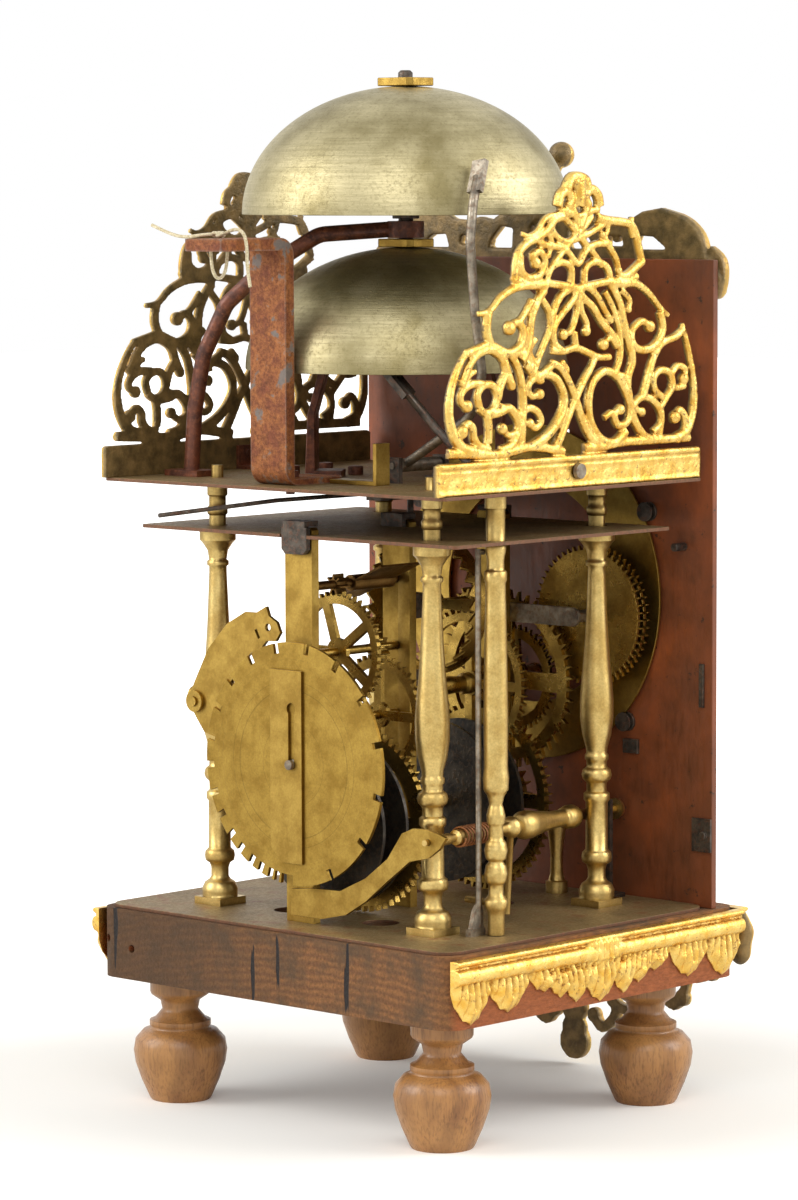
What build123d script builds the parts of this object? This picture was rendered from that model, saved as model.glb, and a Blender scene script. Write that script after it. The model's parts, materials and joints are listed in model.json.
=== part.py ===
from build123d import *
import math
import os

os.makedirs("parts", exist_ok=True)

# Stoelklok movement on its stool: a posted frame with two weight trains, two bells and openwork
# frets. All sizes are millimetres. While the pieces are made, z = 0 is the top of the iron base
# plate, y = 0 lies midway between the front and rear pillars, the dial faces -Y and the strike
# side is at +Y. The pieces are written out with the floor at z = 0.

# Stool
foot_height = 52.0
foot_belly_diameter = 39.0
foot_neck_diameter = 15.0
foot_base_diameter = 26.0
foot_inset_side = 25.0
foot_inset_rear = 23.0
foot_inset_front = 30.0
board_width = 198.0
board_front = 95.0
board_rear = 83.0
board_thickness = 29.0
board_corner = 9.0
moulding_thickness = 4.5
moulding_height = 20.0
moulding_band = 10.0
front_moulding_thickness = 9.0
apron_drop = 50.0
apron_thickness = 4.0
apron_lead = 4.3

# Sheet-iron plates
plate_thickness = 1.4
base_plate_width = 192.0
base_plate_front = 79.0
base_plate_rear = 81.0
lower_plate_width = 176.0
lower_plate_front = 64.0
lower_plate_rear = 67.0
upper_plate_width = 190.0
upper_plate_front = 75.5
upper_plate_rear = 81.0
rope_hole_diameter = 15.0

# Brass pillars
pillar_spacing_x = 120.0
pillar_spacing_y = 100.0
pillar_height = 156.0
plate_gap = 18.4
pillar_bulge_diameter = 14.0
pillar_waist_diameter = 7.3
spindle_diameter = 7.0
pillar_pin_diameter = 5.0
pillar_pin_rise = 5.0

# Upright brass bars that carry the wheel pivots
bar_width = 15.0
bar_thickness = 4.0
rear_bar_y = 62.0
middle_bar_y = 4.6
front_bar_y = -53.4
bar_rise = 3.0
latch_thickness = 2.4
latch_drop = 6.5

# Wheels
fit_clearance = 0.05
wheel_thickness = 2.2
pinion_length = 6.0
arbor_diameter = 3.6
pivot_diameter = 2.2
pivot_length = 1.7
great_arbor_diameter = 6.0
great_pivot_diameter = 3.2
hub_diameter = 11.0

going_great_z = 41.0
going_great_teeth = 64
going_great_module = 1.2
minute_pinion_leaves = 16
minute_wheel_teeth = 56
minute_wheel_module = 1.1
crown_pinion_leaves = 8
going_great_y = -45.0
going_drum_y = -27.0
minute_wheel_y = -38.5
crown_wheel_radius = 29.5
crown_wheel_teeth = 31
crown_band_width = 7.0
crown_tooth_height = 3.4
crown_face_y = -6.6

strike_great_z = 38.5
strike_great_teeth = 62
strike_great_module = 1.2
strike_second_leaves = 8
strike_second_teeth = 46
strike_second_module = 1.05
strike_third_leaves = 7
strike_third_teeth = 48
strike_third_module = 1.0
fly_leaves = 7
strike_great_y = 28.0
strike_drum_y = 43.0
strike_second_y = 17.0
strike_third_y = 41.0
drum_radius = 22.0
drum_cheek_radius = 33.5
drum_length = 12.0
cheek_thickness = 1.6
hammer_pin_count = 13
fly_span = 38.0
fly_length = 24.0
fly_y = 22.0
fly_thickness = 0.8
fly_tilt = 24.0

# Count wheel
count_wheel_x = -3.0
count_wheel_radius = 49.3
count_wheel_thickness = 1.6
count_wheel_y = 70.0
count_notch_width = 2.6
count_notch_depth = 4.2
count_first_notch = 267.7
count_gear_teeth = 78
count_pinion_leaves = 6
count_module = 0.64
count_stud_diameter = 4.0
strip_width = 17.5
strip_length = 78.0
strip_below = 40.0
strip_thickness = 1.1

# Motion work behind the dial
hour_wheel_teeth = 48
hour_pinion_leaves = 16
hour_module = 1.5
hour_wheel_y = -61.5
date_pinion_teeth = 44
date_wheel_teeth = 57
date_module = 1.0
date_wheel_y = -66.5
date_pair_gap = 4.0
date_bearing = 145.0
date_ring_outer = 71.0
date_ring_inner = 47.0
date_ring_z = 125.0
date_ring_y = -77.6
date_ring_thickness = 1.2
ring_stud_bearings = (30.0, 150.0, 225.0, 315.0)
hour_pipe_diameter = 9.0
minute_arbor_diameter = 4.0
hand_gap = 1.2
hour_hand_length = 46.0
minute_hand_length = 74.0
hand_thickness = 1.0

# Dial
dial_overhang = 1.0
dial_height = 266.0
dial_thickness = 3.0
dial_gap = 0.8
window_z = 186.0
window_height = 16.0
chapter_outer = 87.0
chapter_inner = 66.0
chapter_thickness = 1.2

# Bells
bell_thickness = 3.2
upper_bell_radius = 67.0
upper_bell_height = 52.0
bell_spacing = 63.0
lower_bell_radius = 66.0
lower_bell_height = 49.5
lower_bell_lift = 44.8
bell_stud_diameter = 6.0
bell_nut_width = 20.0
bell_nut_height = 3.4
stud_rise = 3.0

# Ironwork on the upper plate
stand_width = 18.0
stand_thickness = 3.0
stand_half_span = 40.0
stand_bearing = 38.0
bracket_width = 20.0
bracket_thickness = 5.0
bracket_x = 8.2
bracket_y = 70.0
bracket_height = 99.0
bracket_arm = 36.0
bracket_foot = 27.0
crutch_end = (11.3, 130.5)
crutch_diameter = 1.8
bracket_bend = 9.0
stay_diameter = 6.5
cord_diameter = 1.4

# Hammers and levers
hammer_arbor_x = -80.5
hammer_arbor_y = 35.2
hammer_rod_diameter = 3.6
upper_hammer_x = -22.0
upper_hammer_y = 14.5
upper_hammer_z = 7.0
upper_hammer_barrel = 19.0
upper_rod_diameter = 3.8
spring_rod_x = -75.0
spring_rod_y = 39.4
spring_rod_diameter = 2.4
release_rear = (-71.0, 60.0, 39.5)
release_front = (-48.0, -77.0, 36.5)
release_shaft_diameter = 4.4
spring_wire_diameter = 0.9
spring_coil_diameter = 7.6
spring_turns = 9
cock_thickness = 1.8
detent_pivot_x = 57.0
detent_pivot_z = 86.0
detent_thickness = 1.6

# Frets
fret_thickness = 3.2
fret_plane_x = 93.0
fret_base_height = 13.0
fret_front = 75.4
fret_rear = 83.4
crest_height = 44.0
crest_thickness = 4.0
finial_rise = 11.0
finial_lean = 10.0

# Derived places
lower_plate_z = pillar_height
upper_plate_z = pillar_height + plate_thickness + plate_gap
deck_z = upper_plate_z + plate_thickness
lower_bell_rim_z = deck_z + lower_bell_lift
upper_bell_rim_z = lower_bell_rim_z + bell_spacing
dial_width = base_plate_width + 2 * dial_overhang
board_top_z = -plate_thickness
board_bottom_z = board_top_z - board_thickness
floor_z = board_bottom_z - foot_height
minute_z = going_great_z + (going_great_teeth + minute_pinion_leaves) * going_great_module / 2
crown_z = minute_z + (minute_wheel_teeth + crown_pinion_leaves) * minute_wheel_module / 2
second_z = strike_great_z + (strike_great_teeth + strike_second_leaves) * strike_great_module / 2
third_z = second_z + (strike_second_teeth + strike_third_leaves) * strike_second_module / 2
fly_z = third_z + (strike_third_teeth + fly_leaves) * strike_third_module / 2
count_reach = (count_gear_teeth + count_pinion_leaves) * count_module / 2
count_wheel_z = strike_great_z + math.sqrt(count_reach ** 2 - count_wheel_x ** 2)
date_reach = (date_pinion_teeth + date_wheel_teeth) * date_module / 2
date_x = date_reach * math.cos(math.radians(date_bearing))
date_z = minute_z + date_reach * math.sin(math.radians(date_bearing))
going_rear = middle_bar_y - bar_thickness / 2
going_front = front_bar_y + bar_thickness / 2
strike_front = middle_bar_y + bar_thickness / 2
strike_rear = rear_bar_y - bar_thickness / 2
dial_y = -(base_plate_front + dial_gap + dial_thickness)
front_reach = board_front + front_moulding_thickness + apron_lead
rear_reach = crutch_end[1] + crutch_diameter / 2
origin_y = (front_reach - rear_reach) / 2
hour_hand_y = dial_y - chapter_thickness - hand_gap - hand_thickness / 2
minute_hand_y = hour_hand_y - hand_gap - hand_thickness
verge_y = -2.2
crown_phase = 0.5
potence_front = crown_face_y - 1.4
verge_low = crown_z - crown_wheel_radius - 1.6
verge_high = upper_plate_z - 2.8
count_gear_y = rear_bar_y + bar_thickness / 2 + 3.1


def turned(profile, base=(0.0, 0.0, 0.0)):
    """A turned piece from (height, diameter) pairs, lowest first, standing on base."""
    low, high = profile[0][0], profile[-1][0]
    corners = [(0.0, low)] + [(d / 2, z) for z, d in profile] + [(0.0, high)]
    face = make_face(Polyline([Vector(r, 0, z) for r, z in corners], close=True))
    return Pos(*base) * revolve(face, Axis.Z)


def rod(x, z, y_low, y_high, diameter):
    """A round bar along Y."""
    length = y_high - y_low
    return Pos(x, (y_low + y_high) / 2, z) * Rot(90, 0, 0) * Cylinder(diameter / 2, length)


def spindle(start, end, diameter):
    """A round bar between two points."""
    axis = Vector(*end) - Vector(*start)
    plane = Plane(origin=start, z_dir=axis)
    return plane * Pos(0, 0, axis.length / 2) * Cylinder(diameter / 2, axis.length)


def slab(x_low, x_high, y_low, y_high, z_low, z_high):
    """A rectangular block given by its corners."""
    place = Pos((x_low + x_high) / 2, (y_low + y_high) / 2, (z_low + z_high) / 2)
    return place * Box(x_high - x_low, y_high - y_low, z_high - z_low)


def upright(sketch, y, thickness):
    """A flat piece in the X-Z plane, its middle at y."""
    plane = Plane(origin=(0, y + thickness / 2, 0), x_dir=(1, 0, 0), z_dir=(0, -1, 0))
    return extrude(plane * sketch, thickness)


def corner_radii(points, share=0.45):
    """The largest arc that each corner of a route allows."""
    radii = []
    for before, here, after in zip(points, points[1:], points[2:]):
        run_in = Vector(*here) - Vector(*before)
        run_out = Vector(*after) - Vector(*here)
        turn = math.radians(run_in.get_angle(run_out))
        radii.append(share * min(run_in.length, run_out.length) / math.tan(turn / 2))
    return radii


def smooth_line(points, steps=3):
    """Points along a smooth line through the given ones, steps to each span."""
    ends = [points[0], *points, points[-1]]
    line = []
    for p, q, r, s in zip(ends, ends[1:], ends[2:], ends[3:]):
        for k in range(steps):
            t = k / steps
            line.append(tuple(0.5 * (2 * b + (c - a) * t + (2 * a - 5 * b + 4 * c - d) * t * t
                                     + (3 * b - a - 3 * c + d) * t ** 3) for a, b, c, d in zip(p, q, r, s)))
    return line + [points[-1]]


def ribbon(points, start, end, bead=0.0, first_bead=0.0, steps=3):
    """The faces of a tapering stroke along a smooth line, with a round bead at either end."""
    line = [Vector(*p) for p in smooth_line(points, steps)]
    left, right = [], []
    for k, here in enumerate(line):
        along = (line[min(k + 1, len(line) - 1)] - line[max(k - 1, 0)]).normalized()
        half = (start + (end - start) * k / (len(line) - 1)) / 2
        across = Vector(-along.Y, along.X) * half
        for edge, point in ((left, here + across), (right, here - across)):
            edge.append(point if not edge or (point - edge[-1]).dot(along) > 0.02 else edge[-1])
    faces = []
    for k in range(0, len(line) - 1, steps):
        corners = left[k:k + steps + 1] + right[k:k + steps + 1][::-1]
        ring = [c for c, after in zip(corners, corners[1:] + corners[:1]) if (c - after).length > 0.01]
        faces.append(make_face(Polyline(ring, close=True)))
    faces.append(Pos(line[0].X, line[0].Y) * Circle(first_bead or start / 2 - 0.02))
    faces.append(Pos(line[-1].X, line[-1].Y) * Circle(bead or end / 2 - 0.02))
    return faces


def bent_rod(points, radius, diameter):
    """A round rod bent to a path, each bend no tighter than its runs allow."""
    radii = [min(radius, widest) for widest in corner_radii(points)]
    path = FilletPolyline(*[Vector(*p) for p in points], radius=radii)
    start = Plane(origin=path @ 0, z_dir=path % 0)
    return sweep(start * Circle(diameter / 2), path)


def ring_sector(radius, width, start, end):
    """A flat stroke of constant width along an arc, from start to end in degrees."""
    outer, inner = radius + width / 2, radius - width / 2
    arcs = CenterArc((0, 0), outer, start, end - start), CenterArc((0, 0), inner, start, end - start)
    sides = Line(arcs[0] @ 0, arcs[1] @ 0), Line(arcs[0] @ 1, arcs[1] @ 1)
    return make_face([*arcs, *sides])


def tooth_ring(count, pitch_radius, module, width_share, tip_share, rise, depth, turn=0.0):
    """The toothed outline of a wheel, its first tooth on +X turned by turn degrees."""
    pitch = 2 * math.pi / count
    outer, root = pitch_radius + rise * module, pitch_radius - depth * module
    points = []
    for tooth in range(count):
        middle = math.radians(turn) + tooth * pitch
        corners = (root, -width_share), (outer, -tip_share), (outer, tip_share), (root, width_share)
        for radius, share in corners:
            angle = middle + share * pitch / 2
            points.append(Vector(radius * math.cos(angle), radius * math.sin(angle)))
    return make_face(Polyline(points, close=True))


def wheel_face(count, module, turn=0.0, spokes=4, rim=3.4, hub=hub_diameter / 2, spoke_width=4.0):
    """A crossed-out wheel."""
    radius = count * module / 2
    face = tooth_ring(count, radius, module, 0.44, 0.16, 0.85, 1.15, turn)
    inner = radius - 1.15 * module - rim
    if spokes:
        for spoke in range(spokes):
            start = 360.0 / spokes * spoke
            gap_out = math.degrees(spoke_width / 2 / inner)
            gap_in = math.degrees(spoke_width / 2 / hub)
            step = 360.0 / spokes
            outer = CenterArc((0, 0), inner, start + gap_out, step - 2 * gap_out)
            near = CenterArc((0, 0), hub, start + gap_in, step - 2 * gap_in)
            sides = Line(outer @ 0, near @ 0), Line(outer @ 1, near @ 1)
            face -= make_face([outer, near, *sides])
    return face


def pinion_face(count, module, turn=0.0):
    """The outline of a small pinion."""
    return tooth_ring(count, count * module / 2, module, 0.40, 0.16, 0.7, 1.2, turn)


def meshed(wheel_teeth, pinion_teeth, wheel_turn, bearing):
    """Turn of a pinion that meets a wheel whose tooth stands at wheel_turn; bearing points to it."""
    lag = (wheel_turn - bearing) * wheel_teeth / pinion_teeth
    return bearing + 180.0 + 180.0 / pinion_teeth - lag


def arbor(z, low, high, y_from, y_to, diameter=arbor_diameter, pivot=pivot_diameter, x=0.0):
    """A wheel arbor between two bars with a pivot at each end."""
    shaft = rod(x, z, low + fit_clearance * 4, high - fit_clearance * 4, diameter)
    return shaft + rod(x, z, y_from, y_to, pivot)


# Stool pieces


def make_foot(x, y):
    """Turned urn foot under the stool board."""
    belly, neck, base = foot_belly_diameter, foot_neck_diameter, foot_base_diameter
    collar = neck + 10.0
    h = foot_height
    shape = [(0, base - 1.5), (1.0, base), (0.16 * h, base + 6.5), (0.30 * h, belly - 1.5)]
    shape += [(0.40 * h, belly), (0.49 * h, belly - 1.6), (0.56 * h, belly - 8.0), (0.585 * h, collar - 1.0)]
    shape += [(0.60 * h, collar + 0.5), (0.64 * h, collar + 0.5), (0.66 * h, collar - 4.0), (0.73 * h, neck)]
    shape += [(0.80 * h, neck + 1.5), (0.85 * h, collar - 1.0), (0.87 * h, collar), (h, collar)]
    return turned(shape, (x, y, floor_z))


def make_board():
    """End-grain stool board with rounded corners and two worm-eaten peg holes in its rear edge."""
    sketch = Rectangle(board_width, board_front + board_rear)
    sketch = fillet(sketch.vertices(), board_corner)
    board = Pos(0, (board_rear - board_front) / 2, board_bottom_z) * extrude(sketch, board_thickness)
    for x, drop in ((93.5, 13.0), (79.0, 16.0)):
        board -= rod(x, board_top_z - drop, board_rear - 7.0, board_rear + 1.0, 3.4)
    rope_line = board_thickness + 2
    for x, y in rope_holes():
        board -= Pos(x, y, board_bottom_z + rope_line / 2 - 1) * Cylinder(rope_hole_diameter / 2, rope_line)
    return board


def rope_holes():
    """Where the weight ropes pass down, one pair for each drum."""
    reach = drum_radius + 3.0
    return [(side * reach, y) for side in (-1, 1) for y in (going_drum_y, strike_drum_y)]


moulding_lobes = ((0.0, 0.12, 6.6), (0.19, 0.11, 6.0), (0.34, 0.09, 2.5), (0.60, 0.125, 5.0),
                  (0.87, 0.125, 5.0))


def moulding_sketch(length):
    """Moulding strip: a plain band over a row of leaves and a shell, drawn from the band's top."""
    half = length / 2
    sketch = Pos(0, -moulding_band / 2) * Rectangle(length, moulding_band)
    for share, width, drop in moulding_lobes:
        for side in (-1, 1):
            leaf = Ellipse(width * half, (moulding_height + drop - moulding_band) / 2 + 2.0)
            low = moulding_height + drop
            sketch += Pos(side * share * half, -low + leaf.bounding_box().size.Y / 2) * leaf
    return sketch


def make_side_moulding(side):
    """Carved and gilt moulding along one side of the stool board."""
    length = board_front + board_rear - 1.0
    plane = Plane(origin=(side * board_width / 2, (board_rear - board_front) / 2, board_top_z - 1.2),
                  x_dir=(0, 1, 0), z_dir=(1, 0, 0))
    strip = extrude(plane * moulding_sketch(length), moulding_thickness * side)
    crown = slab(*sorted((side * board_width / 2, side * (board_width / 2 + moulding_thickness + 1.2))),
                 -board_front + 0.5, board_rear - 0.5, board_top_z - 5.2, board_top_z - 1.2)
    return strip + crown


def make_front_moulding():
    """Carved moulding across the front edge of the stool board, a leaf curled at each end."""
    depth = front_moulding_thickness
    strip = upright(Pos(0, board_top_z - 1.2) * moulding_sketch(board_width), -board_front - depth / 2, depth)
    for side in (-1, 1):
        leaf = Pos(side * (board_width / 2 - 3.0), -board_front - depth / 2, board_top_z - 13.0)
        strip += leaf * Rot(90, 0, 0) * extrude(Ellipse(6.5, 12.0), depth / 2, both=True)
    return strip


apron_scrolls = [
    (5.0, 4.4, [(2, -25), (7, -20), (14, -16), (22, -20), (23, -28), (16, -34), (11, -29)], 3.2),
    (4.4, 4.2, [(21, -22), (30, -25), (40, -22), (44, -14), (38, -7), (31, -11)], 3.0),
    (4.2, 3.8, [(43, -16), (50, -18), (58, -16), (62, -10), (58, -4)], 0),
    (3.6, 3.4, [(50, -17), (56, -20), (60, -16)], 3.6),
    (3.8, 3.4, [(60, -6), (68, -7), (76, -4)], 3.0),
    (4.0, 3.4, [(12, -17), (12, -8), (18, -4)], 2.4),
]


def make_apron():
    """Openwork scroll apron that hangs in front of the board from a strip under its moulding."""
    top = board_bottom_z
    shape = Pos(0, -apron_drop / 2) * Rectangle(7.0, apron_drop - 14.0)
    shape += Pos(0, 8.0 - apron_drop) * Circle(7.6)
    shape += Pos(0, -27.0) * Circle(6.5)
    scrolls = []
    for side in (-1, 1):
        for start, end, points, bead in apron_scrolls:
            scrolls += ribbon([(side * x, z) for x, z in points], start, end, bead)
    shape += scrolls
    shape += Pos(0, 1.0) * Rectangle(156.0, 5.0) + Pos(0, -5.0) * Rectangle(13.0, 12.0)
    back = -board_front - front_moulding_thickness - apron_lead + apron_thickness
    apron = upright(Pos(0, top) * shape, back - apron_thickness / 2, apron_thickness)
    return apron + slab(-40, 40, back - 1.0, 8.0 - board_front, top - 1.4, top)


# Frame


def pillar_places():
    half_x, half_y = pillar_spacing_x / 2, pillar_spacing_y / 2
    return {"front_left_pillar": (-half_x, -half_y), "front_right_pillar": (half_x, -half_y),
            "rear_left_pillar": (-half_x, half_y), "rear_right_pillar": (half_x, half_y)}


def make_pillar(x, y):
    """Turned baluster pillar on a square foot, with the spindle and pin above it."""
    k = (pillar_height - 138.0) / 18.0
    bulge, waist = pillar_bulge_diameter, pillar_waist_diameter
    shape = [(3.0, 14.6), (6.5, 14.8), (9.0, 12.6), (10.2, 9.0), (11.5, waist), (15.0, waist), (17.0, 8.6)]
    shape += [(18.2, 12.0), (20.2, 12.6), (22.0, 12.0), (23.4, 9.2), (43.0, 9.2), (44.0, 10.8), (46.6, 10.8)]
    shape += [(47.6, 8.4), (51.0, 8.4), (52.6, 11.6), (54.4, 12.6), (56.4, 11.6), (57.8, 8.4), (60.0, 8.4)]
    shape += [(60.8, 9.8), (62.6, 9.8), (63.4, 8.6), (66.0, 9.2), (71.0, 12.0), (78.0, bulge - 0.2)]
    shape += [(85.0, bulge), (92.0, bulge - 0.9), (102.0, bulge - 2.9), (116.0, waist + 1.9), (138.0, waist)]
    shape += [(138.0 + 2.4 * k, waist), (138.0 + 3.0 * k, 9.0), (138.0 + 4.6 * k, 9.0)]
    shape += [(138.0 + 5.2 * k, waist), (138.0 + 9.0 * k, waist + 1.2), (138.0 + 12.0 * k, 12.4)]
    shape += [(138.0 + 13.4 * k, 15.0), (pillar_height, 15.0)]
    body = turned(shape, (x, y, 0))
    body += Pos(x, y, 1.5) * Box(15, 15, 3)
    top = pillar_height
    neck = spindle_diameter
    upper = [(top, neck), (top + 0.30 * plate_gap, neck), (top + 0.34 * plate_gap, neck + 1.4)]
    upper += [(top + 0.48 * plate_gap, neck + 1.4), (top + 0.52 * plate_gap, neck)]
    upper += [(top + 0.72 * plate_gap, neck), (top + 0.76 * plate_gap, neck + 1.4)]
    upper += [(upper_plate_z, neck + 1.4)]
    body += turned(upper, (x, y, 0))
    pin = [(upper_plate_z, pillar_pin_diameter), (deck_z + pillar_pin_rise, pillar_pin_diameter)]
    return body + turned(pin, (x, y, 0))


def sheet(width, front, rear, z, corner=2.0):
    sketch = Rectangle(width, front + rear)
    sketch = fillet(sketch.vertices(), corner)
    return Pos(0, (rear - front) / 2, z) * extrude(sketch, plate_thickness)


def drill(body, x, y, z, diameter):
    """Cut an upright hole through the plate at height z."""
    return body - Pos(x, y, z) * Cylinder(diameter / 2, plate_thickness * 6)


def make_base_plate():
    plate = sheet(base_plate_width, base_plate_front, base_plate_rear, -plate_thickness, board_corner)
    for x, y in rope_holes():
        plate = drill(plate, x, y, -plate_thickness / 2, rope_hole_diameter)
    return drill(plate, hammer_arbor_x, hammer_arbor_y, -plate_thickness / 2, 4.0 + 2 * fit_clearance)


def make_lower_plate():
    """Lower top plate, with slots for the bars, the verge and the hammer arbor."""
    plate = sheet(lower_plate_width, lower_plate_front, lower_plate_rear, lower_plate_z)
    middle = lower_plate_z + plate_thickness / 2
    for x, y in pillar_places().values():
        plate = drill(plate, x, y, middle, spindle_diameter + 1.4 + 0.4)
    plate = drill(plate, hammer_arbor_x, hammer_arbor_y, middle, 9.0)
    plate = drill(plate, 0, verge_y, middle, 7.0)
    for y in (rear_bar_y, middle_bar_y, front_bar_y):
        plate -= Pos(0, y, middle) * Box(bar_width + 0.4, bar_thickness + 0.4, 12)
    back = rear_bar_y + bar_thickness / 2
    return plate - slab(-7.4, 7.4, back, back + latch_thickness + 0.8, lower_plate_z - 5, lower_plate_z + 5)


def make_upper_plate():
    plate = sheet(upper_plate_width, upper_plate_front, upper_plate_rear, upper_plate_z)
    middle = upper_plate_z + plate_thickness / 2
    for x, y in pillar_places().values():
        plate = drill(plate, x, y, middle, pillar_pin_diameter + 0.3)
    plate = drill(plate, bracket_x, bracket_screw_y, middle, 4.3)
    return drill(plate, hammer_arbor_x, hammer_arbor_y, middle, 6.0 + 2 * fit_clearance)


def make_bar(y, holes):
    """Brass pivot bar with blind or through pivot holes given as (x, z, diameter, from, to)."""
    height = lower_plate_z + plate_thickness + bar_rise
    bar = slab(-bar_width / 2, bar_width / 2, y - bar_thickness / 2, y + bar_thickness / 2, 0, height)
    bar = chamfer(bar.edges().filter_by(Axis.Y).group_by(Axis.Z)[-1], 1.2)
    for x, z, diameter, low, high in holes:
        bar -= rod(x, z, low, high, diameter + 2 * fit_clearance)
    return bar


def make_latch(y, face):
    """Iron latch that holds a bar in its slot: a hooked tongue riveted to the lower top plate."""
    top = lower_plate_z + plate_thickness
    outside = y + face * (bar_thickness / 2 + 0.3)
    far = outside + face * latch_thickness
    y_low, y_high = sorted((outside, far))
    body = slab(-6, 6, y_low, y_high, top, top + bar_rise + 2.5)
    bridge = slab(-6, 6, *sorted((y - face * 3.4, far)), top + bar_rise + 0.3, top + bar_rise + 2.5)
    return body + bridge


def make_rear_latch():
    """The rear bar's latch, whose tongue hangs down through the plate over the bar's outer face."""
    outside = rear_bar_y + bar_thickness / 2 + 0.3
    foot = lower_plate_z - latch_drop
    tongue = slab(-7, 7, outside, outside + latch_thickness, foot, lower_plate_z + plate_thickness + bar_rise)
    tongue = chamfer(tongue.edges().filter_by(Axis.Y).group_by(Axis.Z)[0], 2.0)
    return make_latch(rear_bar_y, 1) + tongue


# Bells and their carriers


def make_bell(radius, height, rim_z):
    """A hemispherical bell, thicker at the rim, with a hole for the stud."""
    wall = bell_thickness
    outer = EllipticalCenterArc((0, 0), radius, height, start_angle=0, arc_size=90)
    inner = EllipticalCenterArc((0, 0), radius - wall, height - wall * 0.8, start_angle=0, arc_size=90)
    rim = Line(outer @ 0, inner @ 0)
    crown = Line(outer @ 1, inner @ 1)
    face = Plane.XZ * make_face([outer, inner, rim, crown])
    bell = Pos(0, 0, rim_z) * revolve(face, Axis.Z)
    return bell - Pos(0, 0, rim_z + height) * Cylinder(bell_stud_diameter / 2 + fit_clearance, 30)


def bell_nut(z):
    nut = Pos(0, 0, z + bell_nut_height / 2) * Box(bell_nut_width, bell_nut_width * 0.8, bell_nut_height)
    nut = chamfer(nut.edges().filter_by(Axis.Z), 2.0)
    return nut - Pos(0, 0, z) * Cylinder(bell_stud_diameter / 2 + fit_clearance, 30)


lower_crown_z = lower_bell_rim_z + lower_bell_height
upper_crown_z = upper_bell_rim_z + upper_bell_height
lower_seat_z = lower_crown_z - bell_thickness * 0.8
upper_seat_z = upper_crown_z - bell_thickness * 0.8
stand_top_z = lower_seat_z - 1.6
stay_ring_height = 6.8
stay_ring_z = lower_crown_z + bell_nut_height + 0.4


def make_bell_stand():
    """Wrought strap bent to an arch, its feet turned in and riveted to the upper plate."""
    t, half = stand_thickness, stand_half_span
    top = stand_top_z
    outline = [(half - 14, deck_z), (half + t * 0.4, deck_z), (half, deck_z + 26), (half - 9, deck_z + 60)]
    outline += [(9, top), (-9, top)]
    outline += [(-(half - 9), deck_z + 60), (-half, deck_z + 26), (-half - t * 0.4, deck_z)]
    outline += [(-(half - 14), deck_z)]
    inner = [(half - 14, deck_z + t), (half - t, deck_z + t), (half - t, deck_z + 26)]
    inner += [(half - 9 - t, deck_z + 59), (9 - t * 0.4, top - t), (-9 + t * 0.4, top - t)]
    inner += [(-(half - 9 - t), deck_z + 59), (-(half - t), deck_z + 26), (-(half - t), deck_z + t)]
    inner += [(-(half - 14), deck_z + t)]
    points = [Vector(x, z) for x, z in outline + inner[::-1]]
    strap = upright(make_face(Polyline(points, close=True)), 0, stand_width)
    strap = Rot(0, 0, stand_bearing) * strap
    hole = Pos(0, 0, top) * Cylinder(bell_stud_diameter / 2 + fit_clearance, 30)
    return strap - hole


def make_bell_stud():
    """Iron stud that carries both bells, with a collar under the stand and a shoulder above it."""
    d = bell_stud_diameter
    bottom = stand_top_z - stand_thickness - 4.0
    shape = [(bottom, d + 4), (bottom + 4.0, d + 4), (bottom + 4.0, d), (stand_top_z, d)]
    shape += [(stand_top_z, d + 5), (lower_seat_z - 0.4, d + 5), (lower_seat_z - 0.4, d)]
    shape += [(stay_ring_z + stay_ring_height + 1.0, d), (stay_ring_z + stay_ring_height + 1.0, d + 5)]
    shape += [(upper_seat_z - 0.4, d + 5), (upper_seat_z - 0.4, d)]
    tip = upper_crown_z + bell_nut_height + stud_rise
    shape += [(tip - 1.0, d), (tip, d - 2)]
    return turned(shape)


def make_stay():
    """Curved iron arm from a riveted flange up to an eye round the stud between the bells."""
    z = stay_ring_z + stay_ring_height / 2
    path = [(75, 50, deck_z + 2.0), (73.5, 49.5, deck_z + 27), (69.5, 48, deck_z + 50), (60, 44, deck_z + 71)]
    path += [(46, 36, z - 16), (28, 22, z - 2), (5.2, 4.3, z)]
    arm = bent_rod(path, 12.0, stay_diameter)
    flange = Pos(75, 50, deck_z + 1.25) * Box(19, 13, 2.5)
    eye = Pos(0, 0, z) * Cylinder(bell_stud_diameter / 2 + 4.5, stay_ring_height)
    hole = Pos(0, 0, z) * Cylinder(bell_stud_diameter / 2 + fit_clearance, 40)
    return arm + flange + eye - hole


bracket_screw_y = 60.0


def make_bracket():
    """Pendulum bracket: a wrought strap with a rearward arm at its top and a forward foot."""
    t = bracket_thickness
    top, low = deck_z + bracket_height, deck_z
    rear, front = bracket_y + t / 2, bracket_y - t / 2
    foot_end = front - bracket_foot
    foot_t = t * 0.55
    points = [(foot_end, low), (rear, low), (rear, top - t), (rear + bracket_arm, top - t)]
    points += [(rear + bracket_arm, top), (front, top), (front, low + foot_t), (foot_end, low + foot_t)]
    plane = Plane(origin=(bracket_x - bracket_width / 2, 0, 0), x_dir=(0, 1, 0), z_dir=(1, 0, 0))
    sketch = make_face(Polyline([Vector(*p) for p in points], close=True))
    corners = sketch.vertices()
    outer_bend = corners.sort_by_distance((front, top, 0))[0]
    foot_bend = corners.sort_by_distance((rear, low, 0))[0]
    sketch = fillet([outer_bend, foot_bend], bracket_bend * 0.8)
    strap = extrude(plane * sketch, bracket_width)
    strap -= Pos(bracket_x, bracket_screw_y, low) * Cylinder(2.1, 20)
    for y in string_hole_places():
        strap -= Pos(bracket_x, y, top) * Cylinder(1.6, 20)
    return strap


def string_hole_places():
    """Where the string passes down through the bracket's arm, measured along y."""
    return 94.8, 104.2


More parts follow.
